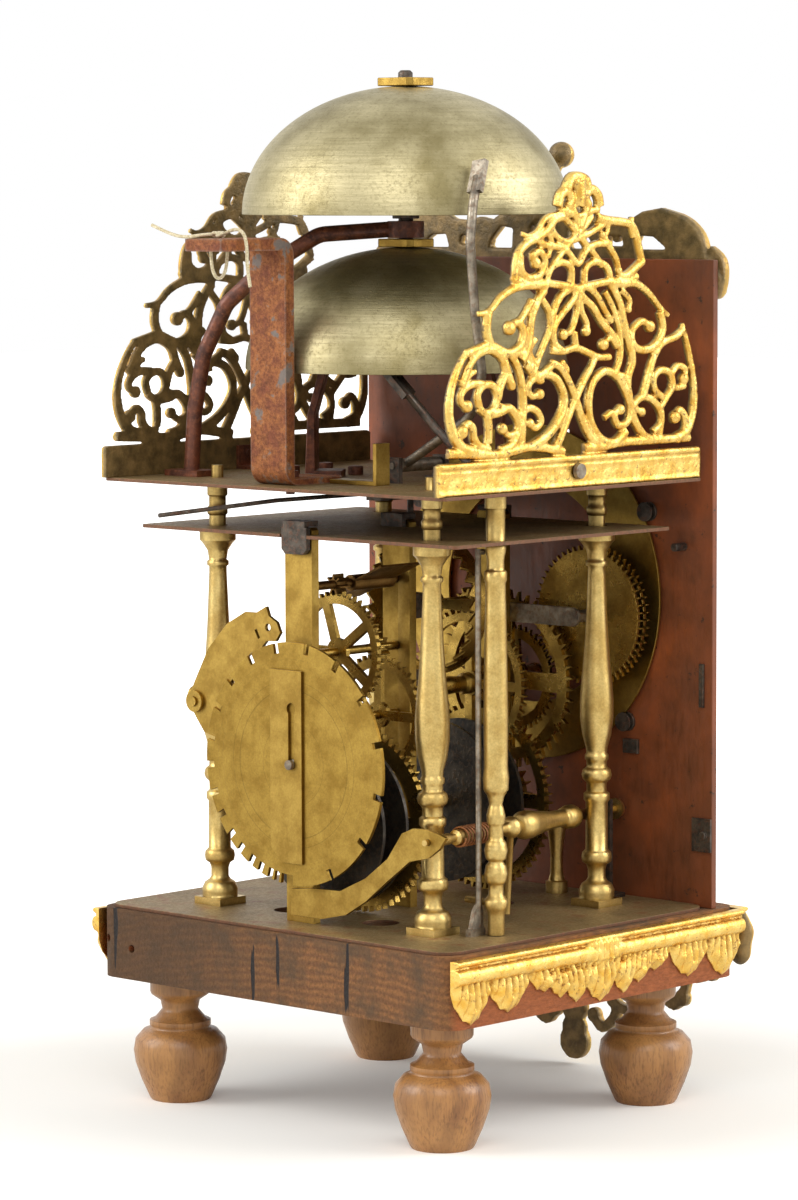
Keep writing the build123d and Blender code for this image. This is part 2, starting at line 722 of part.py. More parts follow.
def cord_path(points, radii):
    """A cord's centre line: straight runs joined by tangent arcs."""
    return FilletPolyline(*[Vector(*p) for p in points], radius=radii)


def cord_tube(name, points):
    radii = corner_radii(points)
    path = cord_path(points, radii)
    tube = sweep(Plane(origin=path @ 0, z_dir=path % 0) * Circle(cord_diameter / 2), path)
    print(name, "radii", [round(r, 1) for r in radii], "length", round(path.length, 1))
    return tube


def suspension_points():
    """Routes of the suspension string: the hanging loop and its two tails."""
    x = bracket_x
    top = deck_z + bracket_height
    low = top - bracket_thickness
    first, second = string_hole_places()
    knot_y = (first + second) / 2
    loop = [(x, first, top), (x, first, low - 4.5), (x, first + 2.6, low - 10.5)]
    loop += [(x, second - 2.6, low - 10.8), (x, second, low - 4.6), (x, second, top)]
    long_tail = [(x + 2.4, knot_y + 0.4, top + 1.7), (x + 8.0, knot_y + 0.8, top + 1.5)]
    long_tail += [(x + 17.0, knot_y + 2.0, top + 0.3), (x + 25.0, knot_y + 2.8, top + 1.7)]
    long_tail += [(x + 33.5, knot_y + 4.4, top + 5.2)]
    short_tail = [(x - 2.4, knot_y - 0.6, top + 1.9), (x - 7.0, knot_y - 1.4, top + 4.2)]
    short_tail += [(x - 11.8, knot_y - 2.2, top + 2.6), (x - 12.8, knot_y - 2.8, top - 3.5)]
    short_tail += [(x - 12.0, knot_y - 3.4, top - 11.0), (x - 12.6, knot_y - 4.6, top - 19.0)]
    return loop, long_tail, short_tail, (x, knot_y, top)


def make_knot():
    """The knotted string lying on the arm."""
    x, y, top = suspension_points()[3]
    r = cord_diameter / 2
    first, second = string_hole_places()
    body = Pos(x, y, top + r) * Rot(90, 0, 0) * Cylinder(r * 1.25, second - first + 2 * r)
    body += Pos(x, y, top + r * 1.9) * Sphere(r * 3.0)
    keep = Pos(x, y, top + 10) * Box(40, 40, 20)
    return body & keep


# Trains


def drum(y, z):
    """Rope drum with two dark cheeks and a ring of pins between them, on the great arbor."""
    half = drum_length / 2
    body = rod(0, z, y - half, y + half, 2 * drum_radius)
    for side in (-1, 1):
        middle = y + side * (half + cheek_thickness / 2)
        body += rod(0, z, middle - cheek_thickness / 2, middle + cheek_thickness / 2, 2 * drum_cheek_radius)
    for spike in range(8):
        angle = math.radians(45 * spike + 22.5)
        reach = drum_radius - 1
        foot = (reach * math.cos(angle), y, z + reach * math.sin(angle))
        tip = ((reach + 4.5) * math.cos(angle), y, z + (reach + 4.5) * math.sin(angle))
        body += spindle(foot, tip, 2.4)
    return body


def bored(body, x, y, z, diameter):
    """Bore a piece for the arbor that carries it."""
    return body - rod(x, z, y - 40, y + 40, diameter)


def wheel_on(face, x, y, z, thickness=wheel_thickness):
    return upright(Pos(x, z) * face, y, thickness)


going_great_turn = 0.0
minute_pinion_turn = meshed(going_great_teeth, minute_pinion_leaves, going_great_turn, 90.0)
minute_wheel_turn = 0.0
crown_pinion_turn = meshed(minute_wheel_teeth, crown_pinion_leaves, minute_wheel_turn, 90.0)
hour_pinion_turn = 0.0
hour_wheel_turn = meshed(hour_pinion_leaves, hour_wheel_teeth, hour_pinion_turn, 90.0)
date_pinion_turn = 0.0
date_wheel_turn = meshed(date_pinion_teeth, date_wheel_teeth, date_pinion_turn, date_bearing)
strike_great_turn = 0.0
second_pinion_turn = meshed(strike_great_teeth, strike_second_leaves, strike_great_turn, 90.0)
second_wheel_turn = 0.0
third_pinion_turn = meshed(strike_second_teeth, strike_third_leaves, second_wheel_turn, 90.0)
third_wheel_turn = 0.0
fly_pinion_turn = meshed(strike_third_teeth, fly_leaves, third_wheel_turn, 90.0)
count_pinion_turn = 0.0
count_bearing = math.degrees(math.atan2(count_wheel_z - strike_great_z, count_wheel_x))
count_gear_turn = meshed(count_pinion_leaves, count_gear_teeth, count_pinion_turn, count_bearing)


def make_going_great_wheel():
    """Going great wheel on its arbor, which runs out in front to carry the hour pinion."""
    z = going_great_z
    face = wheel_face(going_great_teeth, going_great_module, going_great_turn, 4, 4.0, 10.0, 6.0)
    body = wheel_on(face, 0, going_great_y, z, 2.6)
    body += rod(0, z, going_front + 0.2, going_rear - 0.2, great_arbor_diameter)
    body += rod(0, z, going_rear - 0.3, going_rear + pivot_length, great_pivot_diameter)
    body += rod(0, z, hour_wheel_y - 4.0, going_front + 0.3, great_pivot_diameter)
    leaves = tooth_ring(hour_pinion_leaves, hour_pinion_leaves * hour_module / 2, hour_module,
                        0.36, 0.12, 0.7, 1.45, hour_pinion_turn)
    return body + wheel_on(leaves, 0, hour_wheel_y, z, 4.0)


def make_drum(y, z):
    return bored(drum(y, z), 0, y, z, great_arbor_diameter)


def make_minute_wheel():
    """Minute wheel and pinion on the arbor that runs out through the dial to the minute hand."""
    z = minute_z
    front = minute_hand_y - hand_thickness / 2 - 2.0
    body = rod(0, z, going_front + 0.2, going_rear - 0.2, minute_arbor_diameter)
    body += rod(0, z, going_rear - 0.3, going_rear + pivot_length, pivot_diameter)
    body += rod(0, z, front, going_front + 0.3, minute_arbor_diameter - 1.0)
    leaves = tooth_ring(minute_pinion_leaves, minute_pinion_leaves * going_great_module / 2,
                        going_great_module, 0.40, 0.14, 0.7, 1.2, minute_pinion_turn)
    body += wheel_on(leaves, 0, going_great_y, z, pinion_length)
    face = wheel_face(minute_wheel_teeth, minute_wheel_module, minute_wheel_turn)
    body += wheel_on(face, 0, minute_wheel_y, z)
    low, high = minute_wheel_y + wheel_thickness / 2, going_rear - 12.0
    span = high - low
    shape = [(-0.4, 9.0), (3.0, 9.0), (4.0, 6.4), (0.45 * span, 7.6), (0.62 * span, 6.0), (0.66 * span, 8.2)]
    shape += [(0.72 * span, 8.2), (0.76 * span, 6.0), (span, 6.0)]
    return body + Pos(0, low, z) * Rot(-90, 0, 0) * turned(shape)


def make_crown_arbor():
    """Arbor and pinion of the crown wheel, its rear pivot in the potence."""
    z = crown_z
    rear = potence_front
    shaft = rod(0, z, going_front + 0.2, rear - 0.3, 3.0)
    shaft += rod(0, z, going_front - pivot_length, going_front + 0.3, pivot_diameter)
    shaft += rod(0, z, rear - 0.4, rear + 1.6, 1.8)
    leaves = pinion_face(crown_pinion_leaves, minute_wheel_module, crown_pinion_turn)
    return shaft + wheel_on(leaves, 0, minute_wheel_y, z, pinion_length)


def make_crown_wheel():
    """Crown wheel: a hoop on a crossed plate, with saw teeth standing towards the verge."""
    r, wall = crown_wheel_radius, 1.3
    root = crown_face_y - crown_tooth_height
    back = root - crown_band_width
    band = rod(0, crown_z, back, crown_face_y, 2 * r)
    band -= rod(0, crown_z, back - 1, crown_face_y + 1, 2 * (r - wall))
    plate = Circle(r - wall / 2)
    for spoke in range(4):
        outer = CenterArc((0, 0), r - 3.4, 90 * spoke + 6, 78)
        near = CenterArc((0, 0), 5.5, 90 * spoke + 22, 46)
        plate -= make_face([outer, near, Line(outer @ 0, near @ 0), Line(outer @ 1, near @ 1)])
    band += wheel_on(plate, 0, back + 0.8, crown_z, 1.6)
    pitch = 360.0 / crown_wheel_teeth
    half = math.radians(pitch) * r / 2
    top = crown_face_y + 1.0
    corners = [(-half * 0.72, top), (half * 1.30, top), (half * 0.96, root), (half * 0.70, root)]
    flank = make_face(Polyline([Vector(x, y) for x, y in corners], close=True))
    gap = Pos(0, 0, r - wall - 1.0) * extrude(flank, wall + 2.0)
    middle = Pos(0, 0, crown_z)
    band -= [middle * Rot(0, pitch * (tooth + crown_phase), 0) * gap for tooth in range(crown_wheel_teeth)]
    return band + make_crown_arbor()


def make_verge():
    """Upright verge with two pallets and its pivots."""
    shaft = Pos(0, verge_y, (verge_low + verge_high) / 2) * Cylinder(1.3, verge_high - verge_low)
    shaft += Pos(0, verge_y, verge_low - 0.7) * Cylinder(0.8, 1.5)
    shaft += Pos(0, verge_y, verge_high + 1.0) * Cylinder(0.8, 2.1)
    flag = crown_wheel_radius - 0.7
    for side in (-1, 1):
        pallet = Pos(0, 2.2, 0) * Box(1.0, 4.4, 4.4)
        shaft += Pos(0, verge_y, crown_z + side * flag) * Rot(0, 0, 180 + side * 50) * pallet
    return shaft


def make_crutch():
    """Block on the verge with the long wire crutch, bent down a little towards its end."""
    x_end, y_end = crutch_end
    low, high = verge_high - 4.4, verge_high - 0.2
    z = high - 1.2
    reach = [(0.2, 17.0, z), (1.0, 45.0, z), (4.2, 72.0, z - 0.3), (x_end, y_end, z - 3.4)]
    block = slab(-4.0, 4.0, verge_y - 4.0, 20.0, low, high)
    return bent_rod(reach, 30.0, crutch_diameter) + block - Pos(0, verge_y, low) * Cylinder(1.3, 20)


def make_verge_cocks():
    """Lower cock of the verge: a tongue over the minute arbor, its lug up the middle bar."""
    face = going_rear
    low, high = verge_low - 1.8, verge_low - 0.2
    cock = slab(-4.5, 4.5, verge_y - 3.0, face, low, high)
    cock += slab(-4.5, 4.5, face - 1.6, face, low, low + 13.0)
    return cock - Pos(0, verge_y, high) * Cylinder(0.8 + fit_clearance, 8.0)


def make_potence():
    """Brass block on the middle bar that carries the crown wheel's rear pivot round the verge."""
    block = slab(-5.5, 5.5, potence_front, going_rear, crown_z - 5.0, crown_z + 5.0)
    block -= Pos(0, verge_y, crown_z) * Cylinder(2.0, 20)
    return block - rod(0, crown_z, potence_front - 1, potence_front + 1.9, 1.8 + 2 * fit_clearance)


def make_verge_block():
    """Iron block under the upper plate with the verge's top pivot hole."""
    high = upper_plate_z
    block = slab(-6.5, 6.5, verge_y - 6.0, verge_y + 9.0, high - 2.6, high)
    return block - Pos(0, verge_y, high - 2.6) * Cylinder(0.8 + fit_clearance, 4.6)


def make_hour_wheel():
    """Hour wheel with pointed teeth on its pipe, which also carries the date pinion."""
    face = tooth_ring(hour_wheel_teeth, hour_wheel_teeth * hour_module / 2, hour_module,
                      0.44, 0.05, 1.25, 1.1, hour_wheel_turn)
    inner = hour_wheel_teeth * hour_module / 2 - 1.1 * hour_module - 5.0
    for spoke in range(4):
        outer = CenterArc((0, 0), inner, 90 * spoke + 8, 74)
        near = CenterArc((0, 0), 8.0, 90 * spoke + 26, 38)
        face -= make_face([outer, near, Line(outer @ 0, near @ 0), Line(outer @ 1, near @ 1)])
    wheel = wheel_on(face, 0, hour_wheel_y, minute_z)
    gear = tooth_ring(date_pinion_teeth, date_pinion_teeth * date_module / 2, date_module,
                      0.40, 0.15, 0.8, 1.1, date_pinion_turn)
    for spoke in range(4):
        outer = CenterArc((0, 0), 17.0, 90 * spoke + 10, 70)
        near = CenterArc((0, 0), 8.0, 90 * spoke + 26, 38)
        gear -= make_face([outer, near, Line(outer @ 0, near @ 0), Line(outer @ 1, near @ 1)])
    wheel += wheel_on(gear, 0, date_wheel_y, minute_z, 2.0)
    pipe_front = dial_y - chapter_thickness - hand_gap - hand_thickness - 0.6
    wheel += rod(0, minute_z, pipe_front, hour_wheel_y + wheel_thickness / 2, hour_pipe_diameter)
    return bored(wheel, 0, hour_wheel_y, minute_z, minute_arbor_diameter - 1.0 + 2 * fit_clearance)


def make_date_wheels():
    """Pair of equal toothed wheels, face to face, on one stud pipe."""
    body = None
    for k in (0, 1):
        face = wheel_face(date_wheel_teeth, date_module, date_wheel_turn, 0)
        y = date_wheel_y - k * date_pair_gap
        part = wheel_on(face, date_x, y, date_z, 1.6)
        body = part if body is None else body + part
    body += rod(date_x, date_z, date_wheel_y - date_pair_gap - 1.6, date_wheel_y + 1.6, 12.0)
    return bored(body, date_x, date_wheel_y, date_z, 5.0 + 2 * fit_clearance)


def make_date_stud():
    """Stud and bridge on the front bar that carry the date wheels."""
    face = front_bar_y - bar_thickness / 2
    tip = date_wheel_y - date_pair_gap - 1.6
    stud = rod(date_x, date_z, tip - 1.0, face - 1.4, 5.0)
    stud += rod(date_x, date_z, tip - 1.6, tip - 0.3, 7.0)
    bridge = spindle_bar((date_x, date_z), (0, date_z), face - 1.4, 8.0)
    return stud + bridge


def spindle_bar(start, end, y, width):
    """A flat strip between two points of an upright plane, 1.6 thick, its rear face on y + 1.4."""
    (x1, z1), (x2, z2) = start, end
    length = math.hypot(x2 - x1, z2 - z1)
    turn = math.degrees(math.atan2(z2 - z1, x2 - x1))
    shape = Rectangle(length, width) + Pos(-length / 2, 0) * Circle(width / 2)
    shape += Pos(length / 2, 0) * Circle(width / 2)
    return upright(Pos((x1 + x2) / 2, (z1 + z2) / 2) * Rot(0, 0, turn) * shape, y + 0.6, 1.6)


def make_date_ring():
    """Plain-edged brass date ring that turns on four studs behind the dial."""
    face = Circle(date_ring_outer) - Circle(date_ring_inner)
    return wheel_on(face, 0, date_ring_y, date_ring_z, date_ring_thickness)


def make_ring_studs():
    """Grooved studs on the dial's back whose flanges hold the date ring's edge."""
    back = dial_y + dial_thickness
    front_side = date_ring_y - date_ring_thickness / 2 - 0.3
    rear_side = date_ring_y + date_ring_thickness / 2 + 0.3
    studs = []
    for bearing in ring_stud_bearings:
        reach = date_ring_outer + 2.3
        x = reach * math.cos(math.radians(bearing))
        z = date_ring_z + reach * math.sin(math.radians(bearing))
        stud = rod(x, z, back, front_side, 8.0) + rod(x, z, back, rear_side + 0.9, 4.0)
        studs.append(stud + rod(x, z, rear_side, rear_side + 0.9, 8.0))
    return studs


def make_dial():
    low = board_top_z
    high = dial_height
    outline = Pos(0, (low + high) / 2) * Rectangle(dial_width, high - low)
    plate = upright(outline, dial_y + dial_thickness / 2, dial_thickness)
    plate -= rod(0, minute_z, dial_y - 5, dial_y + 10, hour_pipe_diameter + 1.0)
    window = Pos(0, window_z) * Rectangle(38.0, window_height)
    return plate - upright(window, dial_y, 12.0)


def make_chapter_ring():
    ring = Circle(chapter_outer) - Circle(chapter_inner)
    return upright(Pos(0, minute_z) * ring, dial_y - chapter_thickness / 2, chapter_thickness)


def make_hand(length, y, bore_diameter, width):
    """Pierced brass hand pointing up."""
    shape = Pos(0, length * 0.35) * Rectangle(width * 0.45, length * 0.7)
    shape += Circle(width * 0.95) + Pos(0, length * 0.62) * Circle(width * 0.8)
    tip = Polyline((-width * 0.6, length * 0.66), (width * 0.6, length * 0.66), (0, length), close=True)
    shape += make_face(tip)
    shape -= Pos(0, length * 0.62) * Circle(width * 0.36)
    hand = upright(Pos(0, minute_z) * shape, y, hand_thickness)
    return bored(hand, 0, y, minute_z, bore_diameter)


def make_strike_great_wheel():
    """Strike great wheel with its hammer pins; the arbor carries the count wheel's pinion."""
    z = strike_great_z
    face = wheel_face(strike_great_teeth, strike_great_module, strike_great_turn, 4, 7.0, 10.0, 6.0)
    body = wheel_on(face, 0, strike_great_y, z, 2.6)
    reach = strike_great_teeth * strike_great_module / 2 - 6.0
    for pin in range(hammer_pin_count):
        angle = 2 * math.pi * pin / hammer_pin_count
        x, pin_z = reach * math.cos(angle), z + reach * math.sin(angle)
        body += rod(x, pin_z, strike_great_y - 5.5, strike_great_y - 1.2, 2.4)
    body += rod(0, z, strike_front + 0.2, strike_rear - 0.2, great_arbor_diameter)
    body += rod(0, z, strike_front - pivot_length, strike_front + 0.3, great_pivot_diameter)
    body += rod(0, z, strike_rear - 0.3, count_gear_y - 1.4, great_pivot_diameter)
    leaves = tooth_ring(count_pinion_leaves, count_pinion_leaves * count_module / 2, count_module,
                        0.40, 0.14, 0.7, 1.1, count_pinion_turn)
    return body + wheel_on(leaves, 0, count_gear_y, z, 3.0)


def make_strike_wheel(z, y, teeth, module, turn, spokes, pinion, pinion_y):
    """A wheel of the strike train riveted to its arbor and pinion."""
    body = arbor(z, strike_front, strike_rear, strike_front - pivot_length, strike_rear + pivot_length)
    body += wheel_on(pinion, 0, pinion_y, z, pinion_length)
    return body + wheel_on(wheel_face(teeth, module, turn, spokes), 0, y, z)


def make_fly_arbor():
    body = arbor(fly_z, strike_front, strike_rear, strike_front - pivot_length, strike_rear + pivot_length)
    leaves = pinion_face(fly_leaves, strike_third_module, fly_pinion_turn)
    return body + wheel_on(leaves, 0, strike_third_y, fly_z, pinion_length)


def make_fly():
    """Fly vane with its pipe."""
    body = rod(0, fly_z, fly_y - fly_length / 2, fly_y + fly_length / 2, arbor_diameter + 3.0)
    vane = Box(fly_span, fly_length, fly_thickness)
    body += Pos(0, fly_y, fly_z) * Rot(0, fly_tilt, 0) * vane
    return bored(body, 0, fly_y, fly_z, arbor_diameter)


def notch_bearings():
    """Bearings of the 24 notches: the gaps count one and the hour, then one, round the wheel."""
    step = 360.0 / 156.0
    bearing, bearings = count_first_notch, []
    for hour in range(1, 13):
        bearings.append(bearing)
        bearing -= hour * step
        bearings.append(bearing)
        bearing -= hour * step
    return bearings


def make_count_wheel():
    """Count wheel with its notches, the gear behind it and the keyhole strip across its face."""
    face = Circle(count_wheel_radius)
    for bearing in notch_bearings():
        slot = Pos(count_wheel_radius, 0) * Rectangle(2 * count_notch_depth, count_notch_width)
        face -= Rot(0, 0, 180 - bearing) * slot
    wheel = wheel_on(face, count_wheel_x, count_wheel_y, count_wheel_z, count_wheel_thickness)
    gear = tooth_ring(count_gear_teeth, count_gear_teeth * count_module / 2, count_module,
                      0.42, 0.12, 0.8, 1.1, count_gear_turn)
    wheel += wheel_on(gear, count_wheel_x, count_gear_y, count_wheel_z, 1.8)
    low, high = count_gear_y, count_wheel_y
    wheel += rod(count_wheel_x, count_wheel_z, low, high, 14.0)
    return bored(wheel, count_wheel_x, count_wheel_y, count_wheel_z, count_stud_diameter + 2 * fit_clearance)


def make_keyhole_strip():
    y = count_wheel_y + count_wheel_thickness / 2 + strip_thickness / 2
    x, z = count_wheel_x + 3.0, count_wheel_z
    low = z - strip_below
    sketch = Pos(x, low + strip_length / 2) * Rectangle(strip_width, strip_length)
    corner = sketch.vertices().sort_by_distance((x + strip_width / 2, low, 0))[0]
    sketch = chamfer(corner, 6.0)
    slot = count_stud_diameter - 0.8
    key = z + 22.5
    sketch -= Pos(count_wheel_x, (z + key) / 2) * Rectangle(slot, key - z)
    sketch -= Pos(count_wheel_x, z) * Circle(slot / 2)
    sketch -= Pos(count_wheel_x, key) * Circle(count_stud_diameter / 2 + 0.4)
    return upright(sketch, y, strip_thickness)


def make_count_stud():
    """Steel stud on the rear bar, necked to take the keyhole strip."""
    back = rear_bar_y + bar_thickness / 2
    front = count_wheel_y + count_wheel_thickness / 2
    stud = rod(count_wheel_x, count_wheel_z, back, front, count_stud_diameter)
    stud += rod(count_wheel_x, count_wheel_z, back, back + 1.4, 9.0)
    tip = front + strip_thickness + 0.1
    stud += rod(count_wheel_x, count_wheel_z, front - 0.1, tip + 0.1, count_stud_diameter - 1.2)
    return stud + rod(count_wheel_x, count_wheel_z, tip, tip + 1.8, count_stud_diameter)


# Detent, cock and release arbor


def make_detent():
    """Count-wheel detent: a sickle whose pierced tip rides just above the notched rim."""
    y = rear_bar_y + 3.2
    body = make_face(Polyline([(57.0, 79.0), (62.0, 86.0), (58.0, 94.0), (50.0, 108.0), (39.0, 119.0),
                               (28.5, 124.5), (22.0, 124.6), (16.5, 127.4), (15.0, 123.6), (10.6, 121.4),
                               (8.6, 117.2), (11.2, 113.6), (16.4, 113.4), (20.0, 109.6), (25.0, 108.2),
                               (31.0, 103.0), (38.0, 94.0), (43.5, 82.0), (46.0, 72.0), (52.5, 73.5)],
                              close=True))
    body -= Pos(15.5, 119.0) * Circle(1.5)
    body -= Pos(21.5, 116.0) * Rot(0, 0, 60) * Rectangle(4.0, 1.4)
    plate = upright(body, y, detent_thickness)
    plate += rod(detent_pivot_x, detent_pivot_z, y - 2.2, y + 2.4, 9.0)
    return bored(plate, detent_pivot_x, y, detent_pivot_z, 4.0 + 2 * fit_clearance)


def make_detent_stud():
    """Turned stud clamped through the rear right pillar for the detent, with its outer knob."""
    px, py = pillar_spacing_x / 2, pillar_spacing_y / 2
    y = rear_bar_y + 3.2
    z = detent_pivot_z
    stud = rod(detent_pivot_x, z, py + pillar_bulge_diameter / 2 + 0.05, y + 3.4, 4.0)
    stud += rod(detent_pivot_x, z, py + pillar_bulge_diameter / 2 + 0.05, y - 2.5, 7.0)
    band = Pos(px, py, z) * Cylinder(pillar_bulge_diameter / 2 + 1.6, 5.0)
    band -= Pos(px, py, z) * Cylinder(pillar_bulge_diameter / 2 + 0.1, 6.0)
    knob = Pos(px + pillar_bulge_diameter / 2 + 0.6, py, z) * Rot(0, 90, 0)
    knob = knob * turned([(0.2, 5.0), (2.6, 5.0), (2.8, 7.5), (7.0, 7.5), (7.6, 6.0)])
    return stud + band + knob


def make_cock():
    """Flat brass cock from the foot of the rear bar out to the release arbor."""
    y = rear_bar_y + bar_thickness / 2 + cock_thickness / 2
    px, pz = release_rear[0], release_rear[2]
    edge = [(3.5, 3.0), (3.5, 13.5), (-10.0, 15.0), (-24.0, 15.5), (-38.0, 22.0), (-50.0, 31.0)]
    edge += [(px + 13, pz + 2.5), (px + 7, pz + 5.0), (px, pz + 5.2), (px - 6, pz + 4.0)]
    edge += [(px - 10.5, pz + 2.6), (px - 7, pz - 2.0)]
    edge += [(px - 1, pz - 6.2), (px + 9, pz - 8.5), (-50.0, 22.0), (-38.0, 12.5), (-27.0, 6.0), (-14.0, 3.0)]
    cock = upright(make_face(Polyline([Vector(*p) for p in edge], close=True)), y, cock_thickness)
    hole = spindle(release_point(-4.0), release_point(12.0), 2.4 + 4 * fit_clearance)
    return cock - hole


def release_point(before):
    """A point on the release arbor's axis, measured forward from its rear end."""
    start, end = Vector(*release_rear), Vector(*release_front)
    return tuple(start + (end - start).normalized() * (before - 8.0))


release_length = (Vector(*release_front) - Vector(*release_rear)).length


def make_release_arbor():
    """Turned release arbor, skewed past both left pillars, with its tail and end button."""
    d = release_shaft_diameter
    core = spring_coil_diameter - spring_wire_diameter - 0.6
    shape = [(-8.4, 2.4), (3.0, 2.4), (3.0, 4.6), (9.0, 4.6), (9.0, 3.4), (13.0, 3.4), (14.0, core)]
    shape += [(38.0, core), (39.0, 3.4), (42.0, 3.4), (50.0, d), (52.0, d)]
    shape += [(53.0, 7.4), (55.5, 9.2), (58.0, 7.4), (59.0, 5.2), (60.6, 5.2), (61.4, 9.0), (64.4, 11.6)]
    shape += [(69.0, 11.6), (75.0, 9.6), (86.0, 7.4), (95.6, 7.0), (96.4, 8.6), (99.4, 9.8), (103.0, 9.8)]
    shape += [(105.6, 7.4), (106.4, d), (118.0, d), (118.0, 3.2), (release_length - 2.6, 3.2)]
    shape += [(release_length - 2.4, 8.7), (release_length - 0.8, 8.7)]
    start = Vector(*release_rear)
    plane = Plane(origin=release_rear, z_dir=Vector(*release_front) - start)
    body = plane * turned(shape)
    hang = tuple(start + (Vector(*release_front) - start).normalized() * 55.5)
    return body + spindle(hang, (hang[0] + 0.6, hang[1] + 2.0, 3.2), 2.8)


def make_coil():
    """Wire wound on the release arbor: one unbroken tube of quarter-turn arcs."""
    start = Vector(*release_rear)
    direction = (Vector(*release_front) - start).normalized()
    plane = Plane(origin=tuple(start + direction * 16.0), z_dir=direction)
    pitch = 20.0 / spring_turns
    radius = spring_coil_diameter / 2

    def on_coil(quarter):
        angle = math.pi / 2 * quarter
        return (radius * math.cos(angle), radius * math.sin(angle), pitch * quarter / 4)

    arcs = [ThreePointArc(on_coil(q), on_coil(q + 0.5), on_coil(q + 1)) for q in range(4 * spring_turns)]
    path = Wire(arcs)
    section = Plane(origin=path @ 0, z_dir=path % 0) * Circle(spring_wire_diameter / 2)
    coil = sweep(section, path)
    print("coil gap", round(pitch - spring_wire_diameter, 2))
    return plane * coil


def make_front_cock():
    """Iron cock on the base plate for the front end of the release arbor."""
    y = -66.0
    start, end = Vector(*release_rear), Vector(*release_front)
    share = (start.Y - y) / (start.Y - end.Y)
    x, z = start.X + (end.X - start.X) * share, start.Z + (end.Z - start.Z) * share
    post = slab(x - 4.5, x + 4.5, y - 1.0, y + 1.0, 0, z + 5.0)
    post += slab(x - 4.5, x + 4.5, y - 9.0, y + 1.0, 0, 1.8)
    return post - spindle(tuple(start), tuple(end), 3.2 + 2 * fit_clearance)


def make_front_post():
    """Short turned post on the base plate behind the dial."""
    shape = [(0, 9.4), (4.8, 9.4), (5.2, 7.0), (8.0, 5.6), (16.0, 5.2), (24.0, 7.0), (28.0, 8.4), (31.0, 8.4)]
    shape += [(32.0, 5.0), (34.0, 5.0)]
    return turned(shape, (-25.0, -65.0, 0))


# Hammers


def make_hammer_arbor():
    """Slender turned hammer arbor from the base plate up through both top plates."""
    h = upper_plate_z
    shape = [(-plate_thickness * 0.8, 4.0), (0.3, 4.0), (0.3, 6.8), (8.0, 6.8), (9.5, 7.4), (11.6, 9.2)]
    shape += [(14.0, 9.5), (15.4, 7.4), (16.4, 6.0), (20.2, 6.0), (21.6, 8.2), (24.8, 9.5), (28.0, 8.2)]
    shape += [(29.6, 5.8), (30.8, 8.2), (34.0, 9.5), (37.2, 8.2), (38.6, 6.0), (43.8, 5.6), (45.2, 7.2)]
    shape += [(48.2, 7.6), (50.8, 6.4), (52.6, 5.2), (56.0, 7.0), (58.4, 10.0), (63.0, 10.5), (67.0, 9.6), (88.0, 9.8)]
    shape += [(0.62 * h, 9.2), (0.80 * h, 8.0), (0.805 * h, 9.0), (0.825 * h, 9.0), (0.83 * h, 7.0)]
    shape += [(0.85 * h, 6.8), (0.875 * h, 8.4), (0.885 * h, 8.4), (0.888 * h, 7.6), (0.965 * h, 7.6)]
    shape += [(0.968 * h, 8.6), (h - 0.4, 8.6), (h - 0.4, 6.0), (deck_z + 9.0, 6.0)]
    body = turned(shape, (hammer_arbor_x, hammer_arbor_y, 0))
    x, y = hammer_arbor_x, hammer_arbor_y
    return body + spindle((x, y, 12.8), (x + 16.0, y - 0.4, 12.8), 2.8)


def lower_hammer_route():
    x, y, z = hammer_arbor_x, hammer_arbor_y, deck_z
    return [(x, y, z + 5.0), (x + 10, y + 1.5, z + 8), (x + 27, y + 5.5, z + 24), (x + 44, y + 10.5, z + 43)]


def make_lower_hammer():
    """Hammer arm and head for the lower bell, clamped on top of the hammer arbor."""
    route = lower_hammer_route()
    arm = bent_rod(route, 8.0, hammer_rod_diameter)
    hub = Pos(hammer_arbor_x, hammer_arbor_y, deck_z + 4.9) * Cylinder(5.0, 7.0)
    tip = Vector(*route[-1])
    lean = (tip - Vector(*route[-2])).normalized()
    head = Plane(origin=tuple(tip - lean * 9), z_dir=lean) * Pos(0, 0, 7) * Box(3.0, 6.5, 14)
    bore = Pos(hammer_arbor_x, hammer_arbor_y, deck_z) * Cylinder(3.0, 40)
    return arm + hub + head - bore


def upper_hammer_route():
    x, z = upper_hammer_x, deck_z + upper_hammer_z
    y = upper_hammer_y + upper_hammer_barrel / 2 + 1.4
    return [(x, y, z), (x - 6, y + 0.6, z + 3), (-59.0, 26.0, deck_z + 28), (-68.5, 29.5, deck_z + 45),
            (-69.5, 35.0, deck_z + 69), (-68.0, 36.0, deck_z + 98), (-66.5, 32.5, deck_z + 113),
            (-64.5, 27.5, deck_z + 123)]


def make_upper_hammer():
    """Hammer of the upper bell: barrel, long curved rod and flattened tip."""
    x, z = upper_hammer_x, deck_z + upper_hammer_z
    half = upper_hammer_barrel / 2
    route = upper_hammer_route()
    body = rod(x, z, upper_hammer_y - half, upper_hammer_y + half + 5.4, 5.4)
    body += rod(x, z, upper_hammer_y - half - 3.2, upper_hammer_y - half + 1, 2.6)
    body += rod(x, z, upper_hammer_y + half + 5.0, upper_hammer_y + half + 8.6, 2.6)
    body += bent_rod(route, 12.0, upper_rod_diameter)
    tip = Vector(*route[-1])
    lean = (tip - Vector(*route[-2])).normalized()
    blade = Plane(origin=tuple(tip), z_dir=lean) * Pos(0, 0, 0) * Box(2.6, 6.4, 14)
    return body + blade


